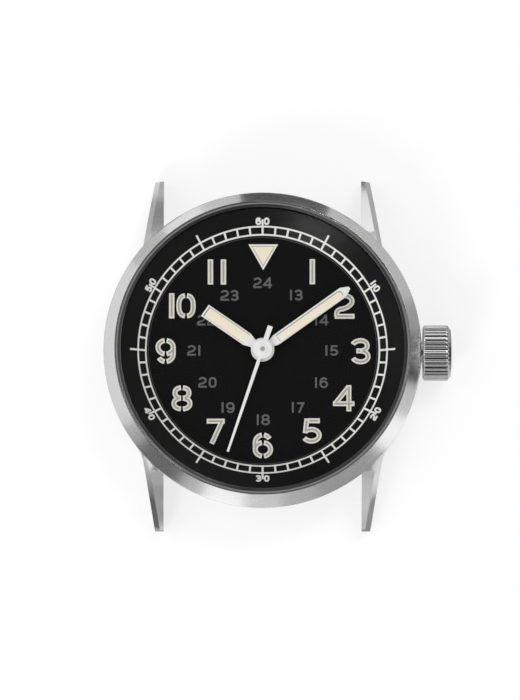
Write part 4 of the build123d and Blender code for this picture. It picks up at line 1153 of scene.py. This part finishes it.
def seen_rays(shader):
    """1 for the rays that show something: the camera's own, and those that metal and glass send on."""
    camera, glossy, through = (
        shader.node("ShaderNodeLightPath", output=f"Is {kind} Ray")
        for kind in ("Camera", "Glossy", "Transmission")
    )
    return shader.maths("MAXIMUM", shader.maths("MAXIMUM", camera, glossy), through)


def make_floor():
    """Wide pale floor under the case back, on which the shadow stays soft. From below it is clear."""
    half = 900
    corners = np.array([[(x, y, 0.0) for x in (-half, half)] for y in (half, -half)])
    shader = Shader("floor_white")
    seen = seen_rays(shader)
    shader.finish({
        "Base Color": shader.blend(seen, grey(0.8), grey(0.3)),
        "Roughness": 0.9,
        "Specular IOR Level": 0.0,
        "Emission Color": shader.blend(seen, grey(0.0), grey(0.7)),
        "Emission Strength": 1.0,
        "Alpha": 1 - shader.node("ShaderNodeNewGeometry", output="Backfacing"),
    })
    stage_piece("floor", grid(corners, round_profile=False, capped=False), shader.material)


def plain_glow(name, tone):
    """Even tone of a reflector, whatever light falls on it."""
    shader = Shader(name)
    glow = shader.node("ShaderNodeEmission", None, {"Color": grey(1.0), "Strength": tone})
    shader.node("ShaderNodeOutputMaterial", None, {"Surface": glow})
    return shader.material


def make_reflector(name, outline, start, end, tone):
    """Curved card: an outline of radius and height carried from one angle to another, in degrees
    anticlockwise from 3 o'clock."""
    angles = np.radians(np.linspace(start, end, 12))
    make_card(name, carried_round(outline, angles), tone)


def make_screen(name, across, outline, tone):
    """Card whose outline of Y and height is drawn out along X, from one side to the other."""
    make_card(name, np.array([[(x, y, z) for y, z in outline] for x in across], float), tone)


def make_card(name, points, tone):
    """Card of an even tone, which only the rays that shiny surfaces send out can see."""
    card = stage_piece(name, grid(points, round_profile=False, capped=False), plain_glow(name, tone))
    card.visible_camera = False
    card.visible_diffuse = False
    card.visible_shadow = False
    card.visible_transmission = False


def make_reflectors():
    """Cards on the floor round the watch, a dark one round the lens overhead and one near each lug,
    which give the steel its light and dark stretches. Those on the floor are given by their first and
    last angle, the height of their outer edge and their tone."""
    inner, bend, outer = 24, 70, 90
    off_floor = 0.1
    left, right = (-28, -2), (2, 28)
    front = [(-32, 7), (-38, 20), (-36, 36)]
    cards = {
        "right_lower_card": (9, 22, 40, 0.42),
        "right_card": (22, 65, 40, 0.62),
        "top_card": (66, 98, 18, 0.09),
        "upper_card": (99, 112, 20, 0.72),
        "upper_left_card": (127, 143, 40, 0.62),
        "left_card": (143, 206, 40, 0.9),
        "lower_left_edge_card": (206, 215, 40, 0.5),
        "lower_left_card": (215, 236, 40, 0.15),
        "front_left_edge_card": (236, 246, 40, 0.62),
        "front_left_light": (246, 262, 40, 1.35),
        "front_card": (264, 278, 40, 0.8),
        "front_middle_card": (278, 292, 40, 0.55),
        "front_right_card": (292, 322, 40, 0.4),
        "lower_right_light": (324, 337, 40, 1.3),
        "lower_right_card": (338, 351, 40, 0.72),
    }
    for name, (start, end, rise, tone) in cards.items():
        outline = [(inner, off_floor), (bend, off_floor), (outer, rise)]
        make_reflector(name, outline, start, end, tone)
    make_reflector("lens_card", [(0, 300), (165, 300)], 0, 360, 0.12)
    make_reflector("crown_card", [(27, off_floor), (bend, off_floor), (outer, 30)], -9, 9, 0.03)
    make_screen("front_left_lug_card", left, front, 0.03)
    make_screen("front_right_lug_card", right, front, 0.6)
    make_screen("back_left_lug_card", left, [(33, 9), (38, 20), (36, 36)], 0.3)
    make_screen("back_right_lug_card", (6, 28), [(32, 5), (38, 20), (36, 36)], 1.3)


def make_world():
    """Pale even surroundings, which show as white."""
    world = bpy.data.worlds.new("studio")
    shader = Shader(world)
    tone = shader.blend(seen_rays(shader), grey(0.5), grey(1.0))
    sky = shader.node("ShaderNodeBackground", None, {"Color": tone})
    shader.node("ShaderNodeOutputWorld", None, {"Surface": sky})
    bpy.context.scene.world = world


def make_camera():
    """Long lens above the dial, tilted a little towards 6 o'clock, aimed so that the dial's middle
    falls on its pixel."""
    lens = bpy.data.cameras.new("camera")
    lens.sensor_width = sensor_width
    lens.lens = sensor_width * camera_distance / (image_height_px * pixel)
    lens.clip_start = 0.01
    lens.clip_end = 10
    holder = bpy.data.objects.new("camera", lens)
    aim_x = (image_width_px / 2 - dial_centre_px[0]) * pixel
    aim_y = (dial_centre_px[1] - image_height_px / 2) * pixel / math.sin(camera_elevation)
    back = np.array([0, -math.cos(camera_elevation), math.sin(camera_elevation)])
    aim = np.array([aim_x, aim_y, dial_top])
    holder.location = (aim + back * camera_distance) * MM
    holder.rotation_mode = "QUATERNION"
    holder.rotation_quaternion = facing((-back).tolist())
    bpy.context.collection.objects.link(holder)
    bpy.context.scene.camera = holder


def make_studio():
    """Floor, surroundings, cards, lamps and camera."""
    make_floor()
    make_world()
    make_reflectors()
    make_lamp("left_lamp", (-380, 40, 460), (320, 420), 0.8)
    make_lamp("front_lamp", (-230, -430, 330), (170, 130), 1.3)
    make_lamp("right_lamp", (230, 270, 500), (220, 220), 0.9)
    make_camera()
    bpy.context.scene.view_settings.view_transform = "Standard"


dress_frame_nodes()
true_round_walls(smooth_copy("case_middle", "case", "case_steel", sharp=24))
make_bezel()
make_gasket()
make_glass()
make_chapter_ring()
make_crown()
make_hands()
make_hour_numerals()
make_day_numerals()
make_minute_track()
make_top_triangle()
make_studio()
